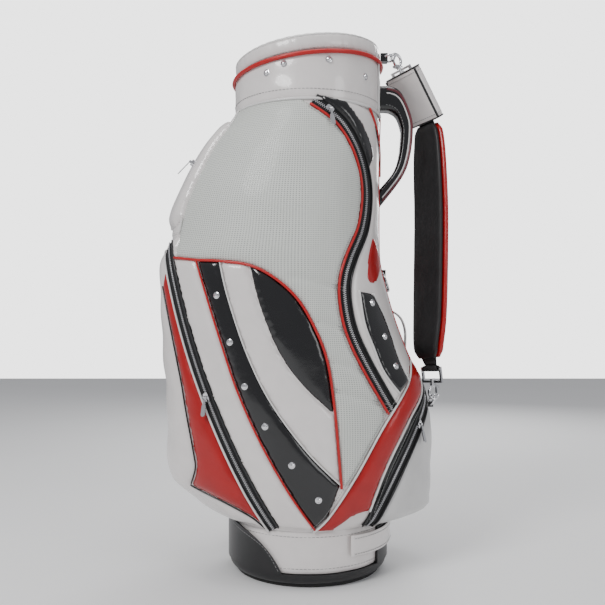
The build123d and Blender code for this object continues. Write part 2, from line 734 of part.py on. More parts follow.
# Each zip's run: three spots that its circle passes, and where along it the slider rests.
ZIP_RUNS = {"upper_front_zip": ([on_upper_pocket(y) for y in (-46, 0, 46)], 0.12)}
for side, side_name in SIDES.items():
    ZIP_RUNS[f"side_zip_{side_name}"] = ([on_side(side_arc, f, side) for f in (0.06, 0.35, 0.7)], 0.06)
    front_rest = {LEFT: 0.53, RIGHT: 0.08}[side]
    ZIP_RUNS[f"front_zip_{side_name}"] = ([on_side(front_arc, f, side) for f in (0.12, 0.5, 0.9)], front_rest)
    ZIP_RUNS[f"rear_zip_{side_name}"] = ([on_side(rear_arc, f, side) for f in (0.2, 0.55, 0.93)], 0.08)

zip_paths = {}
zip_pins = {}
for zip_name, (spots, rest) in ZIP_RUNS.items():
    path = ThreePointArc(*[point for point, normal in spots])
    zip_paths[zip_name] = path
    here = path @ rest
    run = path % rest
    nearest = min(spots, key=lambda spot: (spot[0] - here).length)
    outward = (nearest[1] - run * nearest[1].dot(run)).normalized()
    level = Vector(0, 0, 1).cross(outward).normalized()
    seat = Plane(origin=here, x_dir=run, z_dir=outward)
    tilted = outward.rotate(Axis((0, 0, 0), level), -PULLER_TILT)
    pin_plane = Plane(origin=here + outward * PIN_HEIGHT, x_dir=level, z_dir=tilted)
    pin_side = Plane(origin=pin_plane.origin, x_dir=outward, z_dir=level)
    zip_pins[zip_name] = (pin_plane.origin, level)
    with BuildPart() as slider:
        with BuildSketch(seat.offset(SLIDER_LOW)):
            RectangleRounded(SLIDER_LENGTH, SLIDER_WIDTH, 2.5)
        extrude(amount=SLIDER_HIGH - SLIDER_LOW)
        with BuildSketch(Plane(origin=here, z_dir=run)):
            Circle(TEETH_RADIUS + 0.4)
        extrude(amount=SLIDER_LENGTH, both=True, mode=Mode.SUBTRACT)
        for cheek in (-1, 1):
            with BuildSketch(pin_side.offset(cheek * 3.0)):
                with Locations(((SLIDER_HIGH - PIN_HEIGHT) / 2, 0)):
                    Rectangle(PIN_HEIGHT - SLIDER_HIGH + 2.2, 3.0)
            extrude(amount=0.6, both=True)
        with BuildSketch(pin_side):
            Circle(0.8)
        extrude(amount=3.2, both=True)
    save(slider, f"{zip_name}_slider")
    with BuildPart() as puller:
        with BuildSketch(pin_side):
            Circle(1.7)
        extrude(amount=2.0, both=True)
        with BuildSketch(pin_plane.offset(-0.8)):
            with Locations((0, -PULLER_LENGTH / 2)):
                RectangleRounded(4.0, PULLER_LENGTH, 1.5)
            with Locations((0, -PULLER_LENGTH * 0.68)):
                RectangleRounded(7.5, PULLER_LENGTH * 0.62, 3.0)
        extrude(amount=1.6)
        with BuildSketch(pin_side):
            Circle(0.85)
        extrude(amount=4, both=True, mode=Mode.SUBTRACT)
    save(puller, f"{zip_name}_puller")

ZIP_GROUPS = {
    "side_zips": ("side_zip_left", "side_zip_right"),
    "front_zips": ("front_zip_left", "front_zip_right"),
    "rear_zips": ("rear_zip_left", "rear_zip_right"),
    "upper_front_zip": ("upper_front_zip",),
}
for group_name, zip_names in ZIP_GROUPS.items():
    with BuildPart() as teeth:
        for zip_name in zip_names:
            path = zip_paths[zip_name]
            with BuildSketch(Plane(origin=path @ 0, z_dir=path % 0)):
                Circle(TEETH_RADIUS)
            sweep(path=path)
    save(teeth, group_name)
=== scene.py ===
import bpy
import bmesh
import math
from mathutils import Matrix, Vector
from mathutils.geometry import delaunay_2d_cdt
from mathutils.kdtree import KDTree


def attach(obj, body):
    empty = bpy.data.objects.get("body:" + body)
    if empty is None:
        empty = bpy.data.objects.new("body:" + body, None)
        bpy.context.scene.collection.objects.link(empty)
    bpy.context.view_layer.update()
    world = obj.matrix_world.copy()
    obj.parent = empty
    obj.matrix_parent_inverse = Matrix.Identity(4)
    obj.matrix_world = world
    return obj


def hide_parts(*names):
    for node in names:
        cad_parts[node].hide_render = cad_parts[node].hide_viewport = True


# Golf staff bag. Tables are in millimetres and go to metres by MM when a mesh is made.
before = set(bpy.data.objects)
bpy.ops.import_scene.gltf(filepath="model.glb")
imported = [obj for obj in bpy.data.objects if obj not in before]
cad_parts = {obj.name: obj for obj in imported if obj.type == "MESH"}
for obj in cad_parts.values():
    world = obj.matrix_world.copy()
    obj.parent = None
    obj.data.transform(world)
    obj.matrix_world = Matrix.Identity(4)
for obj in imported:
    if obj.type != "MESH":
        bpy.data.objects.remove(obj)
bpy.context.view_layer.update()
MM = 0.001
BAG = "bag"
LEFT, RIGHT = -1, 1

# ---------------------------------------------------------------- camera, light and floor
camera_data = bpy.data.cameras.new("camera")
camera = bpy.data.objects.new("camera", camera_data)
bpy.context.collection.objects.link(camera)
bpy.context.scene.camera = camera
camera.location = (-0.009, -1.27, 0.414)
camera.rotation_euler = (math.radians(90), 0, 0)
camera_data.lens = 44.2
camera_data.sensor_width = 36
camera_data.shift_y = 0.029          # the horizon sits a little below the middle
camera_data.clip_start = 0.02


def area_light(name, place, target, size, power):
    data = bpy.data.lights.new(name, "AREA")
    data.shape = "DISK"
    data.size = size
    data.energy = power
    lamp = bpy.data.objects.new(name, data)
    bpy.context.collection.objects.link(lamp)
    lamp.location = place
    lamp.rotation_euler = (Vector(target) - Vector(place)).to_track_quat("-Z", "Y").to_euler()


area_light("key_light", (-1.3, -1.7, 1.9), (0, 0, 0.45), 1.0, 38)
area_light("fill_light", (1.7, -1.6, 1.0), (0, 0, 0.4), 1.0, 8)
area_light("top_light", (0.1, -0.1, 2.2), (0, 0, 0.5), 1.2, 14)
area_light("back_light", (0.6, 1.8, 1.4), (0, 0, 0.4), 1.4, 22)

world = bpy.data.worlds.new("studio")
bpy.context.scene.world = world
world.use_nodes = True
background = world.node_tree.nodes["Background"]
background.inputs["Color"].default_value = (0.95, 0.96, 1.0, 1)
background.inputs["Strength"].default_value = 0.45
backdrop = world.node_tree.nodes.new("ShaderNodeBackground")
backdrop.inputs["Color"].default_value = (1, 1, 1, 1)
backdrop.inputs["Strength"].default_value = 3.0
light_path = world.node_tree.nodes.new("ShaderNodeLightPath")
surround = world.node_tree.nodes.new("ShaderNodeMixShader")
world.node_tree.links.new(light_path.outputs["Is Camera Ray"], surround.inputs["Fac"])
world.node_tree.links.new(background.outputs["Background"], surround.inputs[1])
world.node_tree.links.new(backdrop.outputs["Background"], surround.inputs[2])
world.node_tree.links.new(surround.outputs["Shader"], world.node_tree.nodes["World Output"].inputs["Surface"])


# ---------------------------------------------------------------- materials
def new_material(name, colour, roughness, coat=0.0, metallic=0.0, specular=0.5, coat_roughness=0.1):
    material = bpy.data.materials.new(name)
    material.use_nodes = True
    shader = material.node_tree.nodes["Principled BSDF"]
    shader.inputs["Base Color"].default_value = (*colour, 1)
    shader.inputs["Roughness"].default_value = roughness
    shader.inputs["Metallic"].default_value = metallic
    shader.inputs["Specular IOR Level"].default_value = specular
    shader.inputs["Coat Weight"].default_value = coat
    shader.inputs["Coat Roughness"].default_value = coat_roughness
    return material


def node(material, kind, **settings):
    made = material.node_tree.nodes.new(kind)
    for key, value in settings.items():
        if key in made.inputs:
            made.inputs[key].default_value = value
        else:
            setattr(made, key, value)
    return made


def join(material, source, output, target, socket):
    material.node_tree.links.new(source.outputs[output], target.inputs[socket])


def add_mottle(material, colour, spread, scale=35.0, detail=4.0):
    """Uneven colour: a noise pattern between a darker and a lighter shade."""
    shader = material.node_tree.nodes["Principled BSDF"]
    place = node(material, "ShaderNodeTexCoord")
    noise = node(material, "ShaderNodeTexNoise", Scale=scale, Detail=detail)
    ramp = node(material, "ShaderNodeValToRGB")
    ramp.color_ramp.elements[0].position = 0.3
    ramp.color_ramp.elements[1].position = 0.7
    ramp.color_ramp.elements[0].color = (*[c * (1 - spread) for c in colour], 1)
    ramp.color_ramp.elements[1].color = (*[min(c * (1 + spread), 1) for c in colour], 1)
    join(material, place, "Object", noise, "Vector")
    join(material, noise, "Fac", ramp, "Fac")
    join(material, ramp, "Color", shader, "Base Color")
    return ramp


def add_bump(material, scale, depth, texture="ShaderNodeTexNoise", strength=0.5, source="Object", **settings):
    shader = material.node_tree.nodes["Principled BSDF"]
    place = node(material, "ShaderNodeTexCoord")
    pattern = node(material, texture, Scale=scale, **settings)
    bump = node(material, "ShaderNodeBump", Strength=strength, Distance=depth)
    output = "Fac" if texture == "ShaderNodeTexNoise" else "Distance"
    join(material, place, source, pattern, "Vector")
    join(material, pattern, output, bump, "Height")
    previous = [link.from_node for link in material.node_tree.links
                if link.to_node == shader and link.to_socket.name == "Normal"]
    if previous:
        join(material, previous[0], "Normal", bump, "Normal")
    join(material, bump, "Normal", shader, "Normal")
    return pattern


def leather(name, colour, roughness, coat, spread=0.05):
    """Coated leather: soft wrinkles, fine grain and slightly uneven colour."""
    material = new_material(name, colour, roughness, coat=coat, coat_roughness=0.06)
    add_mottle(material, colour, spread)
    add_bump(material, 900.0, 0.0002, strength=0.25, texture="ShaderNodeTexVoronoi")
    add_bump(material, 26.0, 0.004, strength=0.35, Detail=3.0)
    return material


WHITE = leather("white_leather", (0.76, 0.72, 0.705), 0.26, 0.6, 0.035)
# Painted shade: a darker copy of the white leather for the rear pocket, which faces away from the key light.
SHADED_WHITE = leather("white_leather_painted_shade", (0.58, 0.575, 0.57), 0.35, 0.4, 0.04)
BLACK = leather("black_leather", (0.003, 0.003, 0.004), 0.16, 0.5, 0.25)
RED = leather("red_leather", (0.36, 0.001, 0.002), 0.3, 0.2, 0.08)
MATT_BLACK = leather("matt_black_leather", (0.006, 0.006, 0.007), 0.55, 0.05, 0.25)
PIPING_RED = leather("red_piping", (0.45, 0.003, 0.004), 0.4, 0.1, 0.06)
PIPING_WHITE = leather("white_piping", (0.7, 0.69, 0.68), 0.35, 0.4, 0.04)
PIPING_BLACK = leather("black_piping", (0.005, 0.005, 0.006), 0.35, 0.2, 0.2)
MAROON = leather("maroon_leather", (0.12, 0.012, 0.02), 0.4, 0.3, 0.15)

# Perforated leather: a square pattern of holes in the panel's own map.
PERFORATED = new_material("perforated_leather", (0.5, 0.52, 0.5), 0.5, coat=0.1)
HOLE_PITCH = 0.0031
holes = add_bump(PERFORATED, 1 / HOLE_PITCH, 0.0006, texture="ShaderNodeTexVoronoi", strength=0.6,
                 source="UV")
holes.inputs["Randomness"].default_value = 0.0
hole_ramp = node(PERFORATED, "ShaderNodeValToRGB")
hole_ramp.color_ramp.elements[0].position = 0.2
hole_ramp.color_ramp.elements[0].color = (0.3, 0.31, 0.3, 1)
hole_ramp.color_ramp.elements[1].position = 0.32
hole_ramp.color_ramp.elements[1].color = (0.62, 0.64, 0.6, 1)
join(PERFORATED, holes, "Distance", hole_ramp, "Fac")
join(PERFORATED, hole_ramp, "Color", PERFORATED.node_tree.nodes["Principled BSDF"], "Base Color")
add_bump(PERFORATED, 22.0, 0.003, strength=0.3, Detail=2.0)


def woven(name, colour, pitch):
    """Tight woven tape or webbing."""
    material = new_material(name, colour, 0.85)
    add_mottle(material, colour, 0.2, scale=300.0)
    add_bump(material, 1 / pitch, 0.0005, texture="ShaderNodeTexVoronoi", strength=0.6, Randomness=0.15)
    return material


TAPE = woven("zip_tape", (0.008, 0.008, 0.009), 0.0014)
WEBBING = woven("webbing", (0.025, 0.025, 0.027), 0.002)
LINING = woven("lining", (0.03, 0.03, 0.032), 0.0018)
THREAD_WHITE = woven("white_thread", (0.62, 0.62, 0.6), 0.0006)
THREAD_GREY = woven("grey_thread", (0.3, 0.3, 0.3), 0.0006)

CHROME = new_material("chrome", (0.78, 0.78, 0.8), 0.12, metallic=1.0)
add_bump(CHROME, 120.0, 0.0003, strength=0.1)
TEETH = new_material("zip_teeth", (0.55, 0.55, 0.57), 0.35, metallic=0.3)
add_bump(TEETH, 400.0, 0.0003, strength=0.2)
ROD = new_material("rod_metal", (0.5, 0.5, 0.5), 0.35, metallic=0.9)
add_bump(ROD, 300.0, 0.0002, strength=0.2)


def moulded(name, colour, roughness, coat):
    """Injection-moulded plastic or rubber with a fine texture."""
    material = new_material(name, colour, roughness, coat=coat)
    add_mottle(material, colour, 0.15, scale=60.0)
    add_bump(material, 700.0, 0.0002, strength=0.25)
    return material


TUB = moulded("black_plastic", (0.005, 0.005, 0.006), 0.4, 0.1)
SOLE = moulded("sole_rubber", (0.02, 0.02, 0.02), 0.8, 0.0)
INNER = moulded("inner_plastic", (0.03, 0.03, 0.03), 0.6, 0.0)
FLOOR = new_material("floor", (0.85, 0.85, 0.85), 0.8)
add_mottle(FLOOR, (0.85, 0.85, 0.85), 0.01, scale=2.0)

bpy.ops.mesh.primitive_plane_add(size=8)
floor = bpy.context.object
floor.name = "floor"
floor.data.materials.append(FLOOR)

# ---------------------------------------------------------------- mesh helpers
def add_piece(name, mesh, material, body=BAG, nodes=(), slot=None, padded=None, smooth=True):
    """Link a finished mesh as one piece that rides on a body."""
    piece = bpy.data.objects.new(name, mesh)
    bpy.context.collection.objects.link(piece)
    if material:
        mesh.materials.append(material)
    for polygon in mesh.polygons:
        polygon.use_smooth = smooth
    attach(piece, body)
    if nodes:
        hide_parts(*nodes)
    return piece


def mesh_from(name, points, faces):
    """Mesh from millimetre points, with doubled points joined and normals outward."""
    made = bmesh.new()
    verts = [made.verts.new(Vector(point) * MM) for point in points]
    for face in faces:
        if len(set(face)) == len(face):
            try:
                made.faces.new([verts[i] for i in face])
            except ValueError:
                continue
    bmesh.ops.remove_doubles(made, verts=made.verts, dist=0.00002)
    bmesh.ops.recalc_face_normals(made, faces=made.faces)
    mesh = bpy.data.meshes.new(name)
    made.to_mesh(mesh)
    made.free()
    return mesh


def curve_points(corners, step=4.0, closed=False):
    """Smooth line through a few corners, as evenly spaced points."""
    rows = [Vector(c) for c in corners]
    count = len(rows)
    dense = []
    spans = count if closed else count - 1
    for i in range(spans):
        if closed:
            a, b, c, d = (rows[(i + k) % count] for k in (-1, 0, 1, 2))
        else:
            a, b, c, d = (rows[min(max(i + k, 0), count - 1)] for k in (-1, 0, 1, 2))
        for j in range(16):
            t = j / 16
            dense.append(0.5 * (2 * b + (c - a) * t + (2 * a - 5 * b + 4 * c - d) * t * t
                                + (3 * b - a - 3 * c + d) * t ** 3))
    dense.append(rows[0] if closed else rows[-1])
    return evenly(dense, step)


def evenly(line, step):
    """The same line with points a step apart."""
    lengths = [0.0]
    for a, b in zip(line, line[1:]):
        lengths.append(lengths[-1] + (b - a).length)
    total = lengths[-1]
    count = max(int(round(total / step)), 1)
    result = []
    spot = 0
    for k in range(count + 1):
        goal = total * k / count
        while spot < len(line) - 2 and lengths[spot + 1] < goal:
            spot += 1
        span = lengths[spot + 1] - lengths[spot]
        t = (goal - lengths[spot]) / span if span > 1e-9 else 0.0
        result.append(line[spot].lerp(line[spot + 1], min(max(t, 0.0), 1.0)))
    return result


def beside(line, gap):
    """A flat line moved sideways, to its left when gap is positive."""
    moved = []
    for i, point in enumerate(line):
        run = (line[min(i + 1, len(line) - 1)] - line[max(i - 1, 0)]).normalized()
        moved.append(point + Vector((-run.y, run.x)) * gap)
    return moved


def ring_faces(rings, count):
    """Faces between neighbouring rings, each of count points."""
    return [(i * count + k, i * count + (k + 1) % count, (i + 1) * count + (k + 1) % count, (i + 1) * count + k)
            for i in range(rings - 1) for k in range(count)]


def squarish(value, power):
    """Sine or cosine pushed outward, so that a round section turns boxy."""
    return math.copysign(abs(value) ** power, value)


def tube_data(line, radius, sides=10, closed=False):
    """Points and faces of a round tube along a line."""
    points = []
    faces = []
    count = len(line)
    guide = Vector((0.31, 0.2, 0.93))
    for i, point in enumerate(line):
        after = line[(i + 1) % count] if closed else line[min(i + 1, count - 1)]
        before = line[i - 1] if closed or i else line[0]
        run = (after - before).normalized()
        across = run.cross(guide).normalized()
        guide = across.cross(run).normalized() * 0.9 + run * 0.05
        up = across.cross(run)
        for k in range(sides):
            turn = 2 * math.pi * k / sides
            points.append(point + (across * math.cos(turn) + up * math.sin(turn)) * radius)
    rings = count if closed else count - 1
    for i in range(rings):
        for k in range(sides):
            a = i * sides + k
            b = i * sides + (k + 1) % sides
            c = ((i + 1) % count) * sides + (k + 1) % sides
            d = ((i + 1) % count) * sides + k
            faces.append((a, b, c, d))
    if not closed:
        faces.append(tuple(range(sides)))
        faces.append(tuple(range((count - 1) * sides, count * sides)))
    return points, faces


def merged(parts):
    """Join several (points, faces) lists into one."""
    points, faces = [], []
    for some_points, some_faces in parts:
        base = len(points)
        points.extend(some_points)
        faces.extend(tuple(i + base for i in face) for face in some_faces)
    return points, faces


def tubes(name, lines, radius, material, body=BAG, closed=False, sides=10, nodes=(), slot=None):
    points, faces = merged([tube_data(line, radius, sides, closed) for line in lines])
    return add_piece(name, mesh_from(name, points, faces), material, body, nodes, slot)


def stitches(name, lines, material, body=BAG, length=3.4, pitch=5.0, radius=0.45):
    """Separate stitches along each line."""
    parts = []
    for line in lines:
        marks = evenly(line, pitch)
        for a, b in zip(marks, marks[1:]):
            run = (b - a).normalized()
            middle = (a + b) / 2
            dash = [middle - run * length / 2, middle - run * length / 4, middle + run * length / 4,
                    middle + run * length / 2]
            parts.append(tube_data(dash, radius, 5))
    points, faces = merged(parts)
    return add_piece(name, mesh_from(name, points, faces), material, body)


# ---------------------------------------------------------------- the sewn body's skin
# Height, front reach, half width and back reach.
SECTIONS = [
    (88, 134, 130, 134), (106, 164, 136, 196), (123, 188, 141, 201), (157, 228, 146, 203),
    (251, 234, 150, 203), (311, 236, 151, 191), (342, 239, 151, 174), (400, 242, 151, 150),
    (450, 245, 150, 134), (508, 246, 150, 120), (551, 231, 149, 118), (602, 218, 146, 118),
    (670, 184, 138, 118), (701, 165, 132, 119), (732, 138, 127, 120), (757, 123, 122, 121),
]
GIRTH = 150.0                # makes the turn round the body a length


def section(height):
    """Front reach, half width and back reach at a height."""
    height = min(max(height, SECTIONS[0][0]), SECTIONS[-1][0])
    i = max(k for k in range(len(SECTIONS) - 1) if SECTIONS[k][0] <= height)
    low, high = SECTIONS[i], SECTIONS[i + 1]
    before, after = SECTIONS[max(i - 1, 0)], SECTIONS[min(i + 2, len(SECTIONS) - 1)]
    span = high[0] - low[0]
    t = (height - low[0]) / span
    values = []
    for k in (1, 2, 3):
        slope_low = (high[k] - before[k]) / (high[0] - before[0]) * span
        slope_high = (after[k] - low[k]) / (after[0] - low[0]) * span
        values.append((2 * t**3 - 3 * t**2 + 1) * low[k] + (t**3 - 2 * t**2 + t) * slope_low
                      + (3 * t**2 - 2 * t**3) * high[k] + (t**3 - t**2) * slope_high)
    return values


def skin_point(turn, height, side):
    front, half, back = section(height)
    reach = front if turn < math.pi / 2 else back
    return Vector((-reach * math.cos(turn), side * half * math.sin(turn), height))


def skin(turn, height, lift=0.0, side=LEFT):
    """Point of the skin, by the turn round from the front, moved outward by lift."""
    point = skin_point(turn, height, side)
    if lift:
        step = 0.01
        along = skin_point(turn + step, height, side) - skin_point(turn - step, height, side)
        rise = skin_point(turn, height + 1, side) - skin_point(turn, height - 1, side)
        point = point + rise.cross(along).normalized() * lift * side
    return point


def turn_of(x, height):
    """Turn round the body of a spot in the side view."""
    front, half, back = section(height)
    reach = front if x < 0 else back
    return math.acos(min(max(-x / reach, -1), 1))


def on_skin(line, lift=0.0, side=LEFT):
    """Side-view line laid on the skin."""
    return [skin(turn_of(p[0], p[1]), p[1], lift, side) for p in line]


def both_sides(line, lift=0.0):
    return [on_skin(line, lift, side) for side in (LEFT, RIGHT)]

# ---------------------------------------------------------------- seams and panel edges, side view (x, z)
def arc_line(start, middle, end, step=4.0):
    """Circle arc through three spots, as points."""
    a, b, c = Vector(start), Vector(middle), Vector(end)
    d = 2 * (a.x * (b.y - c.y) + b.x * (c.y - a.y) + c.x * (a.y - b.y))
    aa, bb, cc = a.length_squared, b.length_squared, c.length_squared
    centre = Vector(((aa * (b.y - c.y) + bb * (c.y - a.y) + cc * (a.y - b.y)) / d,
                     (aa * (c.x - b.x) + bb * (a.x - c.x) + cc * (b.x - a.x)) / d))
    first = math.atan2(a.y - centre.y, a.x - centre.x)
    sweep = math.atan2(c.y - centre.y, c.x - centre.x) - first
    sweep = (sweep + math.pi) % (2 * math.pi) - math.pi
    radius = (a - centre).length
    line = [centre + Vector((math.cos(first + sweep * k / 40), math.sin(first + sweep * k / 40))) * radius
            for k in range(41)]
    return evenly(line, step)


TAPE_HALF = 9.0              # half width of a zip with its tapes
FRONT_SEAM = arc_line((-231, 543), (-162, 306), (-53, 90))
SIDE_SEAM = curve_points([(8, 755), (52, 722), (80, 676), (92, 622), (86, 562), (66, 511), (56, 476),
                          (56, 440), (66, 395), (91, 342), (131, 273)])
REAR_SEAM = arc_line((92, 90), (146, 190), (205, 300))

LOW_PIPING = curve_points([(-214, 514), (-175, 508), (-137, 505), (-88, 497), (-50, 477), (-15, 444),
                           (12, 396), (29, 348), (39, 281), (45, 217), (50, 158)])
LEAF_EDGE = curve_points([(-90, 496), (-76, 440), (-48, 370), (-12, 318), (38, 271)])
BAND_RIGHT = curve_points([(-136, 504), (-123, 449), (-93, 362), (-56, 288), (-2, 215), (49, 163)])
BAND_LEFT = curve_points([(-175, 508), (-157, 450), (-134, 380), (-109, 308), (-76, 235), (-35, 161),
                          (10, 93)])
SWOOSH_EDGE = curve_points([(-239, 470), (-219, 388), (-203, 320), (-193, 267), (-180, 205), (-177, 180),
                            (-186, 151)])
SWOOSH_BASE = curve_points([(-186, 151), (-130, 130), (-88, 110), (-66, 92)])
BELT_LEFT = curve_points([(170, 350), (158, 312), (114, 247), (72, 175), (31, 113), (8, 89)])
BELT_RIGHT = curve_points([(184, 330), (184, 294), (157, 253), (118, 180), (94, 119)])
BELT_BASE = curve_points([(94, 119), (69, 112), (35, 89)])
OBLONG_LEFT = curve_points([(76, 460), (84, 409), (98, 372), (115, 332), (141, 298)])
OBLONG_RIGHT = curve_points([(99, 455), (121, 411), (142, 350), (158, 316)])
QUILTING = [curve_points(ends) for ends in (
    [(-22, 480), (54, 461)], [(13, 414), (56, 398)], [(36, 352), (84, 334)], [(40, 308), (124, 280)])]


def within(line, low=None, high=None):
    """The part of a side-view line between two heights."""
    return [p for p in line if (low is None or p[1] >= low) and (high is None or p[1] <= high)]


def to_map(line):
    """Side-view line in the skin's own map: length round the body, and height."""
    return [Vector((turn_of(p[0], p[1]) * GIRTH, p[1])) for p in line]


def inside(spot, outline):
    odd = False
    for a, b in zip(outline, outline[1:] + outline[:1]):
        if (a.y > spot.y) != (b.y > spot.y):
            if spot.x < (b.x - a.x) * (spot.y - a.y) / (b.y - a.y) + a.x:
                odd = not odd
    return odd


def panel(name, outline, material, puff=3.2, roll=10.0, base=0.4, tuck=2.4, quilts=(), step=4.5, waves=0.5,
          sides=(LEFT, RIGHT), nodes=(), slot=None, padded=0.5):
    """One sewn panel: full in the middle and tucked in along its seams."""
    edge = to_map(outline)
    clean = [edge[0]]
    for point in evenly(edge + [edge[0]], step)[1:]:
        if (point - clean[-1]).length > step * 0.4:
            clean.append(point)
    if (clean[-1] - clean[0]).length < step * 0.4:
        clean.pop()
    seam_points = [p for p in clean if 1.0 < p.x < math.pi * GIRTH - 1.0]
    seam = KDTree(len(seam_points))
    for i, point in enumerate(seam_points):
        seam.insert((point.x, point.y, 0), i)
    seam.balance()
    quilt_points = [p for line in quilts for p in to_map(evenly(line, 2.0))]
    quilt = KDTree(max(len(quilt_points), 1))
    for i, point in enumerate(quilt_points):
        quilt.insert((point.x, point.y, 0), i)
    quilt.balance()
    spots = list(clean)
    low_x, high_x = min(p.x for p in clean), max(p.x for p in clean)
    low_y, high_y = min(p.y for p in clean), max(p.y for p in clean)
    row = 0
    y = low_y + step / 2
    while y < high_y:
        x = low_x + step / 2 + (step / 2 if row % 2 else 0)
        while x < high_x:
            spot = Vector((x, y))
            if seam.find((x, y, 0))[2] > step * 0.45 and inside(spot, clean):
                spots.append(spot)
            x += step
        y += step * 0.87
        row += 1
    count = len(clean)
    edges = [(i, (i + 1) % count) for i in range(count)]
    made = delaunay_2d_cdt(spots, edges, [list(range(count))], 1, 0.01)
    flat, faces = made[0], made[2]
    parts = []
    for side in sides:
        points = []
        for spot in flat:
            gap = min(seam.find((spot.x, spot.y, 0))[2] / roll, 1.0)
            lift = base - tuck + (puff + tuck) * math.sqrt(max(1 - (1 - gap) ** 2, 0))
            wave = math.sin(spot.x * 0.045 + spot.y * 0.03) * math.sin(spot.y * 0.05 - spot.x * 0.02)
            lift += waves * gap * wave
            if quilt_points:
                near = quilt.find((spot.x, spot.y, 0))[2]
                lift -= 2.2 * math.exp(-(near / 4.5) ** 2)
            points.append(skin(spot.x / GIRTH, spot.y, lift, side))
        order = [tuple(f) if side == LEFT else tuple(reversed(f)) for f in faces]
        parts.append((points, order))
    points, faces = merged(parts)
    mesh = bpy.data.meshes.new(name)
    mesh.from_pydata([p * MM for p in points], [], faces)
    layer = mesh.uv_layers.new(name="map")
    places = list(flat) * len(sides)
    for loop in mesh.loops:
        layer.data[loop.index].uv = places[loop.vertex_index] * MM
    work = bmesh.new()
    work.from_mesh(mesh)
    bmesh.ops.remove_doubles(work, verts=work.verts, dist=0.00005)
    bmesh.ops.recalc_face_normals(work, faces=work.faces)
    work.to_mesh(mesh)
    work.free()
    return add_piece(name, mesh, material, BAG, nodes, slot, padded)

# ---------------------------------------------------------------- panels
FAR = 262                    # beyond the body, so a line ends on the front or back middle
YOKE = 0.9                   # share of the front reach where the perforated panel begins
SPINE = 0.982                # share of the back reach where the spine panel begins
FRONT_EDGE = beside(FRONT_SEAM, -TAPE_HALF)
FRONT_INNER = beside(FRONT_SEAM, TAPE_HALF)
SIDE_EDGE = beside(SIDE_SEAM, -TAPE_HALF)
SIDE_INNER = beside(SIDE_SEAM, TAPE_HALF)
REAR_EDGE = beside(REAR_SEAM, -TAPE_HALF)
REAR_INNER = beside(REAR_SEAM, TAPE_HALF)
YOKE_EDGE = [Vector((-section(z)[0] * YOKE, z)) for z in range(553, 758, 6)]
SPINE_EDGE = [Vector((section(z)[2] * SPINE, z)) for z in range(318, 758, 8)]


def line(*corners):
    return [Vector(corner) for corner in corners]


def back(edge):
    return list(reversed(edge))


# A thin layer under all panels, so no seam can be looked through.
under_points = []
UNDER_TURNS, UNDER_ROWS = 96, 90
UNDER_LIFT = -1.2
for j in range(UNDER_ROWS + 1):
    height = SECTIONS[0][0] + (SECTIONS[-1][0] - SECTIONS[0][0]) * j / UNDER_ROWS
    for i in range(UNDER_TURNS):
        share = i / UNDER_TURNS * 2
        side = LEFT if share <= 1 else RIGHT
        under_points.append(skin(math.pi * (share if share <= 1 else 2 - share), height, UNDER_LIFT, side))
under_faces = ring_faces(UNDER_ROWS + 1, UNDER_TURNS)
add_piece("body_underlay", mesh_from("body_underlay", under_points, under_faces), WHITE)

panel("side_pocket_perforated",
      LOW_PIPING + back(within(BELT_LEFT, 160, 258)) + back(within(SIDE_EDGE, 276)) + line((-10, 757))
      + back(YOKE_EDGE),
      PERFORATED, puff=3.4, roll=16, quilts=QUILTING, waves=0.8,
      nodes=("side_pocket_left", "side_pocket_right"), slot="pocket_fabric")
panel("side_pocket_leaf", LEAF_EDGE + back([p for p in LOW_PIPING if -88 <= p.x <= 39]), BLACK,
      puff=4.2, roll=16, waves=0.8, slot="pocket_fabric")
panel("side_pocket_inner_stripe",
      [p for p in LOW_PIPING if -134 <= p.x <= -90] + LEAF_EDGE + [p for p in LOW_PIPING if p.x >= 39]
      + back(BAND_RIGHT), WHITE, puff=4.0, slot="pocket_fabric")
panel("side_pocket_stud_band", BAND_LEFT + line((31, 113)) + back(BAND_RIGHT)
      + back([p for p in LOW_PIPING if -173 <= p.x <= -138]), BLACK, puff=3.4, slot="pocket_fabric")
panel("side_pocket_outer_stripe",
      FRONT_INNER + line((8, 90)) + back(BAND_LEFT) + back([p for p in LOW_PIPING if p.x <= -176])
      + line((-207, 551)), WHITE, puff=4.0, slot="pocket_fabric")

panel("front_yoke", line((-FAR, 553)) + YOKE_EDGE + line((-FAR, 757)), WHITE, puff=1.6,
      nodes=("upper_front_pocket",), slot="pocket_fabric")
UPPER_BOTTOM, UPPER_TOP = 566, 742
UPPER_REACH = 0.885          # the upper pocket's side, as a share of the front reach
upper_side = [Vector((-section(z)[0] * UPPER_REACH, z)) for z in range(UPPER_BOTTOM + 12, UPPER_TOP - 10, 6)]
panel("upper_pocket_panel",
      line((-FAR, UPPER_BOTTOM), (-section(UPPER_BOTTOM)[0] * 0.93, UPPER_BOTTOM)) + upper_side
      + line((-section(UPPER_TOP)[0] * 0.93, UPPER_TOP), (-FAR, UPPER_TOP)), WHITE,
      puff=12.0, roll=20, base=0.0, waves=0.8, padded=0.8, slot="pocket_fabric")

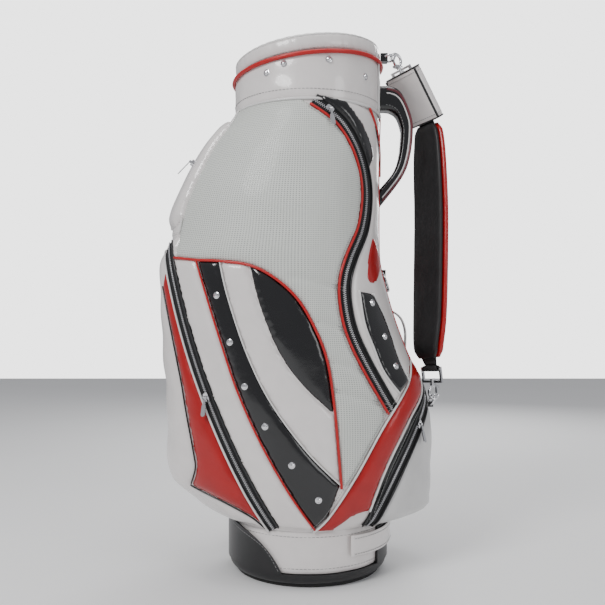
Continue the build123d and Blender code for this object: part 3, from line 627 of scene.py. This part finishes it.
front_top = within(FRONT_EDGE, 500)
panel("front_pocket_face",
      line((-FAR, 534)) + front_top + SWOOSH_EDGE + SWOOSH_BASE + line((-FAR, 90)), WHITE,
      puff=4.6, roll=22, waves=1.6, nodes=("front_pocket",), slot="pocket_fabric", padded=0.7)
panel("front_pocket_swoosh", within(FRONT_EDGE, 94, 500) + back(SWOOSH_BASE) + back(SWOOSH_EDGE), RED,
      puff=4.4, roll=18, waves=1.4, slot="pocket_fabric")
panel("belt_panel", BELT_LEFT + back(BELT_BASE) + back(BELT_RIGHT), RED, puff=4.6, roll=14,
      slot="pocket_fabric")
panel("rear_strip", BELT_RIGHT + REAR_INNER, BLACK, puff=2.4, slot="pocket_fabric")
# The rear pocket is white leather; its darker colour is painted shade.
panel("rear_pocket_face", REAR_EDGE + line((FAR, 300), (FAR, 90)), SHADED_WHITE, puff=4.4, roll=20, waves=1.4,
      nodes=("rear_pocket",), slot="pocket_fabric", padded=0.7)
panel("side_gusset_panel",
      SIDE_INNER + back(within(BELT_LEFT, 292)) + SPINE_EDGE, WHITE, puff=3.2, roll=14,
      nodes=("side_gusset_left", "side_gusset_right"), slot="pocket_fabric")
panel("side_gusset_oblong", OBLONG_LEFT + back(OBLONG_RIGHT), BLACK, puff=2.2, base=4.2, tuck=2.4, roll=7)
wedge_edge = line((103, 676), (100, 694), (84, 726), (58, 757))
panel("side_gusset_wedge", within(SIDE_INNER, 655) + wedge_edge, BLACK,
      puff=1.6, base=3.4, tuck=2.4, roll=6)
triangle_edge = curve_points([(100, 548), (88, 482), (105, 472), (116, 505)], closed=True)[:-1]
panel("side_gusset_triangle", triangle_edge, RED, puff=1.6, base=3.4, tuck=2.4, roll=6)
panel("spine_panel_cover", line((FAR, 318)) + SPINE_EDGE + line((FAR, 757)), BLACK, puff=2.4, roll=8,
      nodes=("spine_panel",), slot="black_leather")

# ---------------------------------------------------------------- piping, stitching and zips
PIPING = 2.1
tubes("low_piping", both_sides(LOW_PIPING, 2.6), PIPING, PIPING_RED)
tubes("side_piping", both_sides(SIDE_EDGE, 2.0), PIPING, PIPING_RED)
tubes("band_piping", both_sides(BAND_LEFT, 2.2), PIPING * 0.8, PIPING_RED)
tubes("band_edge", both_sides(BAND_RIGHT, 2.2), PIPING * 0.6, PIPING_WHITE)
tubes("gusset_piping", both_sides(SIDE_INNER, 1.8), PIPING * 0.7, PIPING_BLACK)
tubes("oblong_piping", both_sides(OBLONG_LEFT, 4.2) + both_sides(OBLONG_RIGHT, 4.2), PIPING * 0.8,
      PIPING_WHITE)
tubes("belt_piping", both_sides(BELT_LEFT, 2.4) + both_sides(BELT_RIGHT, 2.4), PIPING * 0.8, PIPING_WHITE)
tubes("front_piping", both_sides(FRONT_EDGE, 2.0), PIPING * 0.8, PIPING_WHITE)
tubes("front_inner_piping", both_sides(FRONT_INNER, 2.0), PIPING * 0.7, PIPING_BLACK)
tubes("rear_piping", both_sides(REAR_EDGE, 2.0) + both_sides(REAR_INNER, 2.0), PIPING * 0.7, PIPING_BLACK)
tubes("yoke_piping", both_sides(YOKE_EDGE, 2.2), PIPING, PIPING_WHITE)
tubes("spine_piping", both_sides(SPINE_EDGE, 2.0), PIPING, PIPING_RED)
tubes("swoosh_piping", both_sides(SWOOSH_EDGE + SWOOSH_BASE[1:], 2.4), PIPING * 0.6, PIPING_BLACK)

SHOULDER = curve_points([(96, 754), (110, 722), (116, 690), (117, 655)])
panel("side_gusset_shoulder", SHOULDER + back(within(SPINE_EDGE, 655)), BLACK,
      puff=1.2, base=3.4, tuck=2.4, roll=5)
tubes("shoulder_piping", both_sides(SHOULDER, 4.0), PIPING, PIPING_RED)

stitches("quilting_stitches", [on_skin(beside(q, gap), 1.4, side) for q in QUILTING for gap in (-2.2, 2.2)
                               for side in (LEFT, RIGHT)], THREAD_GREY, length=3.0, pitch=4.6)
stitches("panel_stitches", [on_skin(edge, 3.1, side) for side in (LEFT, RIGHT) for edge in (
    beside(SIDE_EDGE, -6), beside(BELT_LEFT[6:], -7), beside(BELT_RIGHT[3:], 7))], THREAD_GREY)


def ribbon(name, lines, half_width, lift, material):
    """Flat tape laid on the skin along side-view lines."""
    parts = []
    for side in (LEFT, RIGHT):
        for middle in lines:
            edges = [beside(middle, half_width * share) for share in (-1, -0.5, 0, 0.5, 1)]
            rows = [on_skin(edge, lift, side) for edge in edges]
            points = [row[i] for i in range(len(middle)) for row in rows]
            faces = [(i * 5 + k, i * 5 + k + 1, i * 5 + k + 6, i * 5 + k + 5)
                     for i in range(len(middle) - 1) for k in range(4)]
            parts.append((points, faces))
    points, faces = merged(parts)
    return add_piece(name, mesh_from(name, points, faces), material)


ZIP_LINES = [FRONT_SEAM, SIDE_SEAM, REAR_SEAM]
ribbon("zip_tapes", ZIP_LINES, TAPE_HALF + 1.5, 0.2, TAPE)


def teeth(name, lines, material, nodes):
    """Rows of separate teeth that mesh along each line."""
    parts = []
    for middle in lines:
        marks = evenly(middle, 1.6)
        for i in range(1, len(marks) - 1):
            run = (marks[i + 1] - marks[i - 1]).normalized()
            away = Vector((marks[i].x, marks[i].y, 0)).normalized()
            out = (away - run * away.dot(run)).normalized()
            wide = run.cross(out) * (1 if i % 2 else -1)
            centre = marks[i] + wide * 1.0
            corners = []
            for height in (-0.8, 0.9):
                shrink = 1.0 if height < 0 else 0.75
                for a, b in ((-0.6, -1.5), (0.6, -1.5), (0.6, 1.7), (-0.6, 1.7)):
                    corners.append(centre + run * a * shrink + wide * b * shrink + out * height)
            parts.append((corners, [(0, 1, 2, 3), (7, 6, 5, 4), (0, 4, 5, 1), (1, 5, 6, 2), (2, 6, 7, 3),
                                    (3, 7, 4, 0)]))
    points, faces = merged(parts)
    mesh = mesh_from(name, points, faces)
    return add_piece(name, mesh, material, nodes=nodes, slot="zip_grey", smooth=False)


teeth("front_zip_teeth", both_sides(FRONT_SEAM, 0.9), TEETH, ("front_zips",))
teeth("side_zip_teeth", both_sides(SIDE_SEAM, 0.9), TEETH, ("side_zips",))
teeth("rear_zip_teeth", both_sides(REAR_SEAM, 0.9), TEETH, ("rear_zips",))

# ---------------------------------------------------------------- cuff and mouth
CUFF_RADIUS = 122.0
MOUTH_HEIGHT = 846.0
TILT = math.radians(6.6)
RIM_UP = Vector((-math.sin(TILT), 0, math.cos(TILT)))
RIM_X = Vector((math.cos(TILT), 0, math.sin(TILT)))
ROLL_HALF_HEIGHT = 14.0
ROLL_HALF_WIDTH = 11.0
ROLL_CENTRE = 112.0          # radius of the middle of the padded roll
ROLL_POWER = 0.75
ROLL_SEAM = 0.62             # turn round the roll's section at which its fine piping lies


def ring_surface(name, place, rows, columns, material, **extra):
    """Closed or open surface of revolution-like rows: place(row share, turn) gives each point."""
    points = [place(j / rows, 2 * math.pi * i / columns) for j in range(rows + 1) for i in range(columns)]
    return add_piece(name, mesh_from(name, points, ring_faces(rows + 1, columns)), material, **extra)


def rim_lower(turn, radius=CUFF_RADIUS):
    """Height of the roll's underside above a spot of the upright wall."""
    return MOUTH_HEIGHT - (ROLL_HALF_HEIGHT + 0.3) / math.cos(TILT) + radius * math.cos(turn) * math.tan(TILT)


def cuff_point(share, turn):
    low, high = 756.0, rim_lower(turn)
    height = low + (high - low) * share
    edge = min(share, 1 - share) * (high - low)
    puff = 3.2 * (1 - math.exp(-edge / 5.0)) - 1.6
    wrinkle = 0.5 * math.sin(turn * 9 + share * 5) * math.sin(turn * 4 - share * 7)
    radius = CUFF_RADIUS - 0.6 + puff + wrinkle
    return Vector((radius * math.cos(turn), radius * math.sin(turn), height))


ring_surface("cuff_band", cuff_point, 26, 220, WHITE, nodes=("cuff_cover",), slot="white_leather", padded=0.5)


def on_cuff(height_of, lift, low=0.0, high=2 * math.pi, count=240):
    """Line round the cuff at a height that depends on the turn."""
    result = []
    for i in range(count + 1):
        turn = low + (high - low) * i / count
        radius = CUFF_RADIUS + lift
        result.append(Vector((radius * math.cos(turn), radius * math.sin(turn), height_of(turn))))
    return result


cuff_hem = [on_cuff(lambda turn: 757.0, 0.8)[:-1]]
tubes("cuff_hem_piping", cuff_hem, 2.2, PIPING_WHITE, closed=True)
stitches("cuff_stitches", [on_cuff(lambda turn: 772.0, 1.4)], THREAD_GREY, length=4.0, pitch=6.2)
red_line = on_cuff(lambda turn: rim_lower(turn) - 4.6, 3.2)[:-1]
tubes("cuff_red_piping", [red_line], 3.3, PIPING_RED, closed=True, nodes=("cuff_piping",), slot="red_leather")
SEAM_ANGLE = math.radians(20)
SEAM_RADIUS = CUFF_RADIUS + 2
cuff_ends = [[Vector((SEAM_RADIUS * math.cos(turn), SEAM_RADIUS * math.sin(turn), z))
              for z in range(758, 842, 4)] for turn in (-SEAM_ANGLE, SEAM_ANGLE)]
tubes("cuff_end_piping", cuff_ends, 2.0, PIPING_WHITE)


def roll_point(share, turn):
    """Padded roll on the rim, pinched a little at its gathers."""
    angle = 2 * math.pi * share
    gather = 1 - 0.035 * (0.5 + 0.5 * math.cos(turn * 46)) ** 3
    reach = ROLL_HALF_WIDTH * squarish(math.cos(angle), ROLL_POWER) * gather
    rise = ROLL_HALF_HEIGHT * squarish(math.sin(angle), ROLL_POWER) * gather
    groove = 1.2 * math.exp(-((angle - ROLL_SEAM) / 0.09) ** 2)
    radius = ROLL_CENTRE + reach - groove
    centre = Vector((0, 0, MOUTH_HEIGHT))
    across = Vector((0, 1, 0))
    return centre + (RIM_X * math.cos(turn) + across * math.sin(turn)) * radius + RIM_UP * rise


ring_surface("mouth_roll", roll_point, 40, 260, WHITE, nodes=("cuff_roll",), slot="white_leather", padded=0.8)


def on_roll(angle, lift):
    """Closed line round the mouth on the roll's surface."""
    reach = (ROLL_HALF_WIDTH + lift) * squarish(math.cos(angle), ROLL_POWER)
    rise = (ROLL_HALF_HEIGHT + lift) * squarish(math.sin(angle), ROLL_POWER)
    result = []
    for turn in [2 * math.pi * i / 240 for i in range(240)]:
        out = RIM_X * math.cos(turn) + Vector((0, 1, 0)) * math.sin(turn)
        result.append(Vector((0, 0, MOUTH_HEIGHT)) + out * (ROLL_CENTRE + reach) + RIM_UP * rise)
    return result


tubes("roll_fine_piping", [on_roll(ROLL_SEAM, -0.2)], 1.2, PIPING_WHITE, closed=True)
under_roll = on_roll(-0.75, 0.1)
stitches("roll_stitches", [under_roll + under_roll[:1]], THREAD_WHITE, length=3.0, pitch=5.0)


def lining_point(share, turn):
    """Fabric inside the mouth, from the roll down to the dividers."""
    radius = 101.5 + 1.2 * math.sin(turn * 12) * share * (1 - share) * 2
    top = MOUTH_HEIGHT - 6 + radius * math.cos(turn) * math.tan(TILT)
    return Vector((radius * math.cos(turn), radius * math.sin(turn), top + (806.0 - top) * share))


ring_surface("mouth_lining", lining_point, 8, 160, LINING)

DIVIDER_OFFSET = 34.0
GRID_TOP = 804.5


BAR_SIDES = 12


def bar_cover(start, end, half_width=6.2, height=7.5):
    """Padded fabric sleeve over one divider bar."""
    run = (end - start).normalized()
    wide = Vector((0, 0, 1)).cross(run)
    rows = evenly([start, end], 5.0)
    points = []
    for i, point in enumerate(rows):
        ripple = 1 + 0.05 * math.sin(i * 1.3)
        for k in range(BAR_SIDES):
            turn = 2 * math.pi * k / BAR_SIDES
            points.append(point + wide * math.cos(turn) * half_width * ripple
                          + Vector((0, 0, 1)) * math.sin(turn) * height * ripple)
    return points, ring_faces(len(rows), BAR_SIDES)


GRID_RADIUS = 101
cross_reach = math.sqrt(GRID_RADIUS**2 - DIVIDER_OFFSET**2)
bars = [bar_cover(Vector((-GRID_RADIUS, 0, GRID_TOP)), Vector((GRID_RADIUS, 0, GRID_TOP)))]
for x in (-DIVIDER_OFFSET, DIVIDER_OFFSET):
    bars.append(bar_cover(Vector((x, -cross_reach, GRID_TOP)), Vector((x, cross_reach, GRID_TOP))))
bar_points, bar_faces = merged(bars)
add_piece("divider_sleeves", mesh_from("divider_sleeves", bar_points, bar_faces), LINING, padded=0.6)

# ---------------------------------------------------------------- studs
CUFF_STUDS = [(238, 802), (252, 812), (285, 818), (318, 803)]
BAND_STUDS = [(-140, 452), (-119, 380), (-96, 313), (-65, 253), (-25, 195), (15, 142)]
REAR_STUDS = [(96, 440), (116, 387), (134, 340)]
STUD_SIDES = 16
STUD_PROFILE = [(5.4, -0.6), (5.6, 0.2), (5.2, 1.0), (3.9, 1.4), (3.6, 2.2), (2.2, 3.2), (0.6, 3.6)]


def stud_data(point, normal):
    """Round rivet with a rim and a faceted jewel-like dome."""
    normal = normal.normalized()
    across = normal.cross(Vector((0, 0, 1))).normalized()
    up = normal.cross(across)
    points = []
    for radius, rise in STUD_PROFILE:
        for k in range(STUD_SIDES):
            turn = 2 * math.pi * k / STUD_SIDES
            points.append(point + (across * math.cos(turn) + up * math.sin(turn)) * radius + normal * rise)
    faces = ring_faces(len(STUD_PROFILE), STUD_SIDES)
    faces.append(tuple(range((len(STUD_PROFILE) - 1) * STUD_SIDES, len(STUD_PROFILE) * STUD_SIDES)))
    return points, faces


stud_parts = []
for side in (LEFT, RIGHT):
    for degrees, height in CUFF_STUDS:
        turn = math.radians(degrees)
        out = Vector((math.cos(turn), -side * math.sin(turn), 0))
        stud_parts.append(stud_data(out * (CUFF_RADIUS + 1.2) + Vector((0, 0, height)), out))
    for (x, z), lift in [(spot, 3.4) for spot in BAND_STUDS] + [(spot, 6.0) for spot in REAR_STUDS]:
        turn = turn_of(x, z)
        low = skin(turn, z, 0.0, side)
        out = skin(turn, z, 1.0, side) - low
        stud_parts.append(stud_data(low + out * lift, out))
stud_points, stud_faces = merged(stud_parts)
add_piece("chrome_studs", mesh_from("chrome_studs", stud_points, stud_faces), CHROME, nodes=("studs",),
          slot="chrome", smooth=False)

# ---------------------------------------------------------------- base
BAND_RADIUS = 129.4
BAND_LOW, BAND_HIGH = 23.0, 89.0


def band_point(share, turn):
    height = BAND_LOW + (BAND_HIGH - BAND_LOW) * share
    edge = min(share, 1 - share) * (BAND_HIGH - BAND_LOW)
    radius = BAND_RADIUS - 2.2 + 2.6 * (1 - math.exp(-edge / 3.0)) + 0.35 * math.sin(turn * 13 + share * 4)
    return Vector((radius * math.cos(turn), radius * math.sin(turn), height))


def round_line(radius, height, low=0.0, high=2 * math.pi, count=200):
    """Level line round the bag between two turns."""
    turns = [low + (high - low) * i / count for i in range(count + 1)]
    return [Vector((radius * math.cos(turn), radius * math.sin(turn), height)) for turn in turns]


ring_surface("base_leather_band", band_point, 16, 200, WHITE, nodes=("base_band",), slot="white_leather",
             padded=0.4)
stitches("base_stitches", [round_line(BAND_RADIUS + 0.4, height) for height in (80.0, 31.0)], THREAD_GREY,
         length=4.2, pitch=6.4)
GUARD_RADIUS = 134.7
guard_edge = curve_points([(-46, 26), (-72, 62), (-122, 84)], 3.0)
guard_lines = [[Vector((p.x, side * math.sqrt(GUARD_RADIUS**2 - p.x**2), p.y)) for p in guard_edge
                if abs(p.x) < GUARD_RADIUS] for side in (LEFT, RIGHT)]
stitches("toe_guard_stitches", guard_lines, THREAD_GREY, length=4.0, pitch=6.0)

GRAB_RADIUS = 136.8
GRAB_LOW, GRAB_HIGH = 46.5, 79.5
GRAB_ANGLE = math.radians(61)


def strip_mesh(name, line_of, columns, section_points):
    """Sweep a closed cross-section: line_of(share) gives origin, outward and sideways directions."""
    points = []
    count = len(section_points)
    for i in range(columns + 1):
        origin, out, wide = line_of(i / columns)
        ends = min(i, columns - i)
        squeeze = 1.0 if ends else 0.6
        for a, b in section_points:
            points.append(origin + out * a * squeeze + wide * b)
    faces = ring_faces(columns + 1, count)
    faces.append(tuple(range(count)))
    faces.append(tuple(range(columns * count, (columns + 1) * count)))
    return mesh_from(name, points, faces)


def pad_section(half_thick, half_wide, power=0.35, count=28):
    """Flat rounded cross-section: thickness first, then width."""
    result = []
    for k in range(count):
        turn = 2 * math.pi * k / count
        result.append((half_thick * squarish(math.cos(turn), 0.7), half_wide * squarish(math.sin(turn), power)))
    return result


def grab_line(share):
    turn = -GRAB_ANGLE + 2 * GRAB_ANGLE * share
    out = Vector((math.cos(turn), math.sin(turn), 0))
    middle = out * (GRAB_RADIUS + 1.2 * math.sin(math.pi * share))
    return middle + Vector((0, 0, (GRAB_LOW + GRAB_HIGH) / 2)), out, Vector((0, 0, 1))


grab_mesh = strip_mesh("grab_strap", grab_line, 70, pad_section(1.9, (GRAB_HIGH - GRAB_LOW) / 2))
add_piece("grab_strap", grab_mesh, WHITE, nodes=("base_grab_strap",), slot="white_leather")
grab_end = GRAB_ANGLE * 0.97
stitches("grab_stitches", [round_line(GRAB_RADIUS + 3.0, height, -grab_end, grab_end, 80)
                           for height in (GRAB_LOW + 4.5, GRAB_HIGH - 4.5)], THREAD_GREY, length=3.6, pitch=5.4)

# ---------------------------------------------------------------- lift handle
HANDLE_OUTER = curve_points([(122.5, 812), (143, 811), (160, 799), (176, 762), (179, 735), (174, 692),
                             (160, 655), (120, 603)], 3.0)
HANDLE_INNER = curve_points([(122.5, 769), (138, 768), (150, 760), (157, 742), (158, 728), (154, 692),
                             (144, 664), (120, 635)], 3.0)
HANDLE_HALF_WIDTH = 16.8
HANDLE_ROWS = 90
HANDLE_SIDES = 32
HANDLE_POWER = 0.55


def in_rows(edge):
    """The same edge cut into the handle's number of rows."""
    return evenly(edge, sum((b - a).length for a, b in zip(edge, edge[1:])) / HANDLE_ROWS)


outer_edge = in_rows(HANDLE_OUTER)
inner_edge = in_rows(HANDLE_INNER)
handle_points = []
for a, b in zip(outer_edge, inner_edge):
    middle, half = (a + b) / 2, (a - b) / 2
    for k in range(HANDLE_SIDES):
        turn = 2 * math.pi * k / HANDLE_SIDES
        spot = middle + half * squarish(math.cos(turn), HANDLE_POWER)
        handle_points.append(Vector((spot.x, HANDLE_HALF_WIDTH * squarish(math.sin(turn), HANDLE_POWER), spot.y)))
rows = len(handle_points) // HANDLE_SIDES
handle_faces = ring_faces(rows, HANDLE_SIDES)
add_piece("handle_pad", mesh_from("handle_pad", handle_points, handle_faces), BLACK,
          nodes=("handle_cover", "handle_core"), slot="black_leather", padded=0.8)


def handle_side(share, side, lift=0.4):
    """Line along the handle's side, a share of the way from its middle to its outer edge."""
    result = []
    for a, b in zip(outer_edge[4:-3], inner_edge[4:-3]):
        spot = (a + b) / 2 + (a - b) / 2 * share
        width = HANDLE_HALF_WIDTH * (1 - abs(share) ** 3.6) ** 0.28 if abs(share) < 1 else 0
        result.append(Vector((spot.x, side * (width + lift), spot.y)))
    return result


tubes("handle_piping", [handle_side(0.3, side) for side in (LEFT, RIGHT)], 1.2, PIPING_WHITE)
tubes("handle_stripe", [handle_side(0.62, side, -0.9) for side in (LEFT, RIGHT)], 2.4, MAROON)
stitches("handle_stitches", [handle_side(-0.6, side, 0.0) for side in (LEFT, RIGHT)], THREAD_GREY)

# ---------------------------------------------------------------- shoulder strap
RING_REACH = 17.0
TWIST = math.radians(33)


def reach(degrees):
    return Vector((math.cos(math.radians(degrees)), 0, math.sin(math.radians(degrees)))) * RING_REACH


SWING_TOP = Vector((131.5, 0, 861)) + reach(5)
SWING_LOW = Vector((208.5, 0, 271)) + reach(63)
UPWARD = (SWING_TOP - SWING_LOW).normalized()
ACROSS = Vector((math.sin(TWIST), -math.cos(TWIST), 0))
ACROSS = (ACROSS - UPWARD * ACROSS.dot(UPWARD)).normalized()
OUTWARD = UPWARD.cross(ACROSS)
EYE_BAR = 46.0
TOP_SLOPE = Vector((0.462, -0.887)).normalized()
TOP_DIRECTION = OUTWARD * TOP_SLOPE.x + UPWARD * TOP_SLOPE.y
SWING_LENGTH = (SWING_TOP - SWING_LOW).length
top_bar = Vector((0, SWING_LENGTH)) + TOP_SLOPE * EYE_BAR
low_bar = Vector((0, EYE_BAR))
STRAP_MIDDLE = curve_points([(-2, 60), (-2, 85), (9, 136), (27, 236), (40, 315), (49, 390), (55, 440),
                             (57, 466)], 4.0)


def in_strap(flat, wide=0.0):
    return SWING_LOW + OUTWARD * flat.x + UPWARD * flat.y + ACROSS * wide


def strap_sweep(name, middle, shift, half_thick, half_wide, material, nodes, slot, padded=None, quilt=0.0,
                waist=0.0):
    """Flat layer along the strap, moved outward by shift."""
    moved = beside(middle, -shift)
    section_points = pad_section(half_thick, half_wide)
    points = []
    count = len(section_points)
    for i, flat in enumerate(moved):
        run = (moved[min(i + 1, len(moved) - 1)] - moved[max(i - 1, 0)]).normalized()
        out = Vector((run.y, -run.x))
        ends = min(i, len(moved) - 1 - i)
        taper = min(1.0, 0.55 + 0.2 * ends)
        swell = 1.0 + quilt * math.sin(i * 0.52)
        narrow = 1.0 - waist * math.exp(-ends / 9.0)
        shrink = narrow * min(1.0, 0.8 + 0.07 * ends)
        for thick, wide in section_points:
            points.append(in_strap(flat + out * thick * taper * swell, wide * shrink))
    rows = len(moved)
    faces = ring_faces(rows, count)
    faces.append(tuple(range(count)))
    faces.append(tuple(range((rows - 1) * count, rows * count)))
    return add_piece(name, mesh_from(name, points, faces), material, "strap", nodes, slot, padded)


pad_middle = [p for p in STRAP_MIDDLE if p.y > 62]
strap_sweep("shoulder_pad", pad_middle, -4.6, 4.2, 35.0, MATT_BLACK, ("strap_pad",), "black_leather", 0.7,
            quilt=0.04, waist=0.3)
strap_sweep("strap_outer", pad_middle, 5.0, 5.4, 38.5, RED, ("strap_shell",), "red_leather", 0.6, waist=0.3)
stitches("strap_stitches", [[in_strap(flat, wide) for flat in beside(pad_middle, -10.2)[10:-10]]
                            for wide in (-27, 27)],
         THREAD_GREY, "strap")


def webbing_loop(bar, towards):
    """Strap line that comes along, goes round a bar and returns."""
    first = math.atan2(towards.y, towards.x)
    return [bar + Vector((math.cos(first + 0.4 + 5.5 * k / 14), math.sin(first + 0.4 + 5.5 * k / 14))) * 4.7
            for k in range(15)]


low_loop = webbing_loop(low_bar, Vector((0, 1)))
high_loop = webbing_loop(top_bar, TOP_SLOPE)
band_line = [low_bar + Vector((0, 5))] + STRAP_MIDDLE + [top_bar + TOP_SLOPE * 40, top_bar + TOP_SLOPE * 5]
strap_sweep("strap_band", evenly(band_line, 5.0), 0.0, 1.3, 18.8, WEBBING, ("strap_webbing",),
            "black_webbing")
strap_sweep("strap_loop_low", low_loop, 0.0, 1.2, 18.8, WEBBING, (), "black_webbing")
strap_sweep("strap_loop_high", high_loop, 0.0, 1.2, 18.8, WEBBING, (), "black_webbing")

SLEEVE_START, SLEEVE_END = 28.0, 122.0
SLEEVE_Y = TOP_DIRECTION.cross(ACROSS)
SLEEVE_SIDES = 48


def sleeve_ring(along, half_wide, half_thick):
    """Boxy ring of the strap's top sleeve, some way along from the upper ring."""
    result = []
    for k in range(SLEEVE_SIDES):
        turn = 2 * math.pi * k / SLEEVE_SIDES
        wide = ACROSS * half_wide * squarish(math.cos(turn), 0.35)
        thick = SLEEVE_Y * half_thick * squarish(math.sin(turn), 0.6)
        result.append(SWING_TOP + TOP_DIRECTION * along + wide + thick)
    return result


sleeve_rows = []
SLEEVE_STEPS = 30
for j in range(SLEEVE_STEPS + 1):
    share = j / SLEEVE_STEPS
    edge = min(share, 1 - share) * (SLEEVE_END - SLEEVE_START)
    swell = 1 - math.exp(-edge / 4.0)
    sleeve_rows.append(sleeve_ring(SLEEVE_START + (SLEEVE_END - SLEEVE_START) * share, 37.4 + 1.2 * swell,
                                   8.4 + 2.2 * swell))
inner_rows = [sleeve_ring(SLEEVE_START + 14 * t, 34.6, 6.4) for t in (1.0, 0.0)]
inner_ends = [sleeve_ring(SLEEVE_END - 14 * t, 34.6, 6.4) for t in (0.0, 1.0)]
all_rows = inner_rows + sleeve_rows + inner_ends
sleeve_points = [point for row in all_rows for point in row]
sleeve_faces = ring_faces(len(all_rows), SLEEVE_SIDES)
add_piece("strap_sleeve", mesh_from("strap_sleeve", sleeve_points, sleeve_faces), WHITE, "strap",
          ("strap_cover",), "white_leather", 0.7)
tubes("sleeve_trim", [[SWING_TOP + TOP_DIRECTION * (SLEEVE_START + 2 + 3 * k) + ACROSS * wide + SLEEVE_Y * 7.5
                       for k in range(31)] for wide in (-37, 37)], 2.0, PIPING_BLACK, "strap")
tubes("sleeve_piping", [sleeve_ring(along, 38.2, 9.4) for along in (SLEEVE_START + 1, SLEEVE_END - 1)], 1.3,
      PIPING_BLACK, "strap", closed=True)
stitches("sleeve_stitches", [sleeve_ring(along, 38.8, 10.6) for along in (SLEEVE_START + 8, SLEEVE_END - 8)],
         THREAD_GREY, "strap")

# ---------------------------------------------------------------- leather loop on the spine
loop_side = curve_points([(141, 431), (158, 418), (166, 396), (166, 367)], 2.5)
LOOP_LINE = [Vector((p.x, 0, p.y)) for p in loop_side]


def loop_at(share):
    i = min(int(share * (len(LOOP_LINE) - 1)), len(LOOP_LINE) - 2)
    run = (LOOP_LINE[i + 1] - LOOP_LINE[i]).normalized()
    return LOOP_LINE[i].lerp(LOOP_LINE[i + 1], share * (len(LOOP_LINE) - 1) - i), \
        Vector((-run.z, 0, run.x)), Vector((0, 1, 0))


add_piece("spine_loop", strip_mesh("spine_loop", loop_at, 36, pad_section(1.5, 9.0)), WHITE,
          nodes=("leather_loop",), slot="white_leather")

# ---------------------------------------------------------------- finish of the CAD nodes that stay
NODE_FINISH = {
    "base_sole": SOLE, "base_tub": TUB, "toe_guard": TUB, "heel_guard": TUB, "base_pad": LINING,
    "body_barrel": INNER, "divider_grid": INNER, "divider_panels": LINING, "stay_rods": ROD,
    "cuff_ring": INNER, "ring_tabs": BLACK, "upper_front_zip": TEETH,
}
for name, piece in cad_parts.items():
    finish = NODE_FINISH.get(name, CHROME)
    for material_slot in piece.material_slots:
        material_slot.material = finish
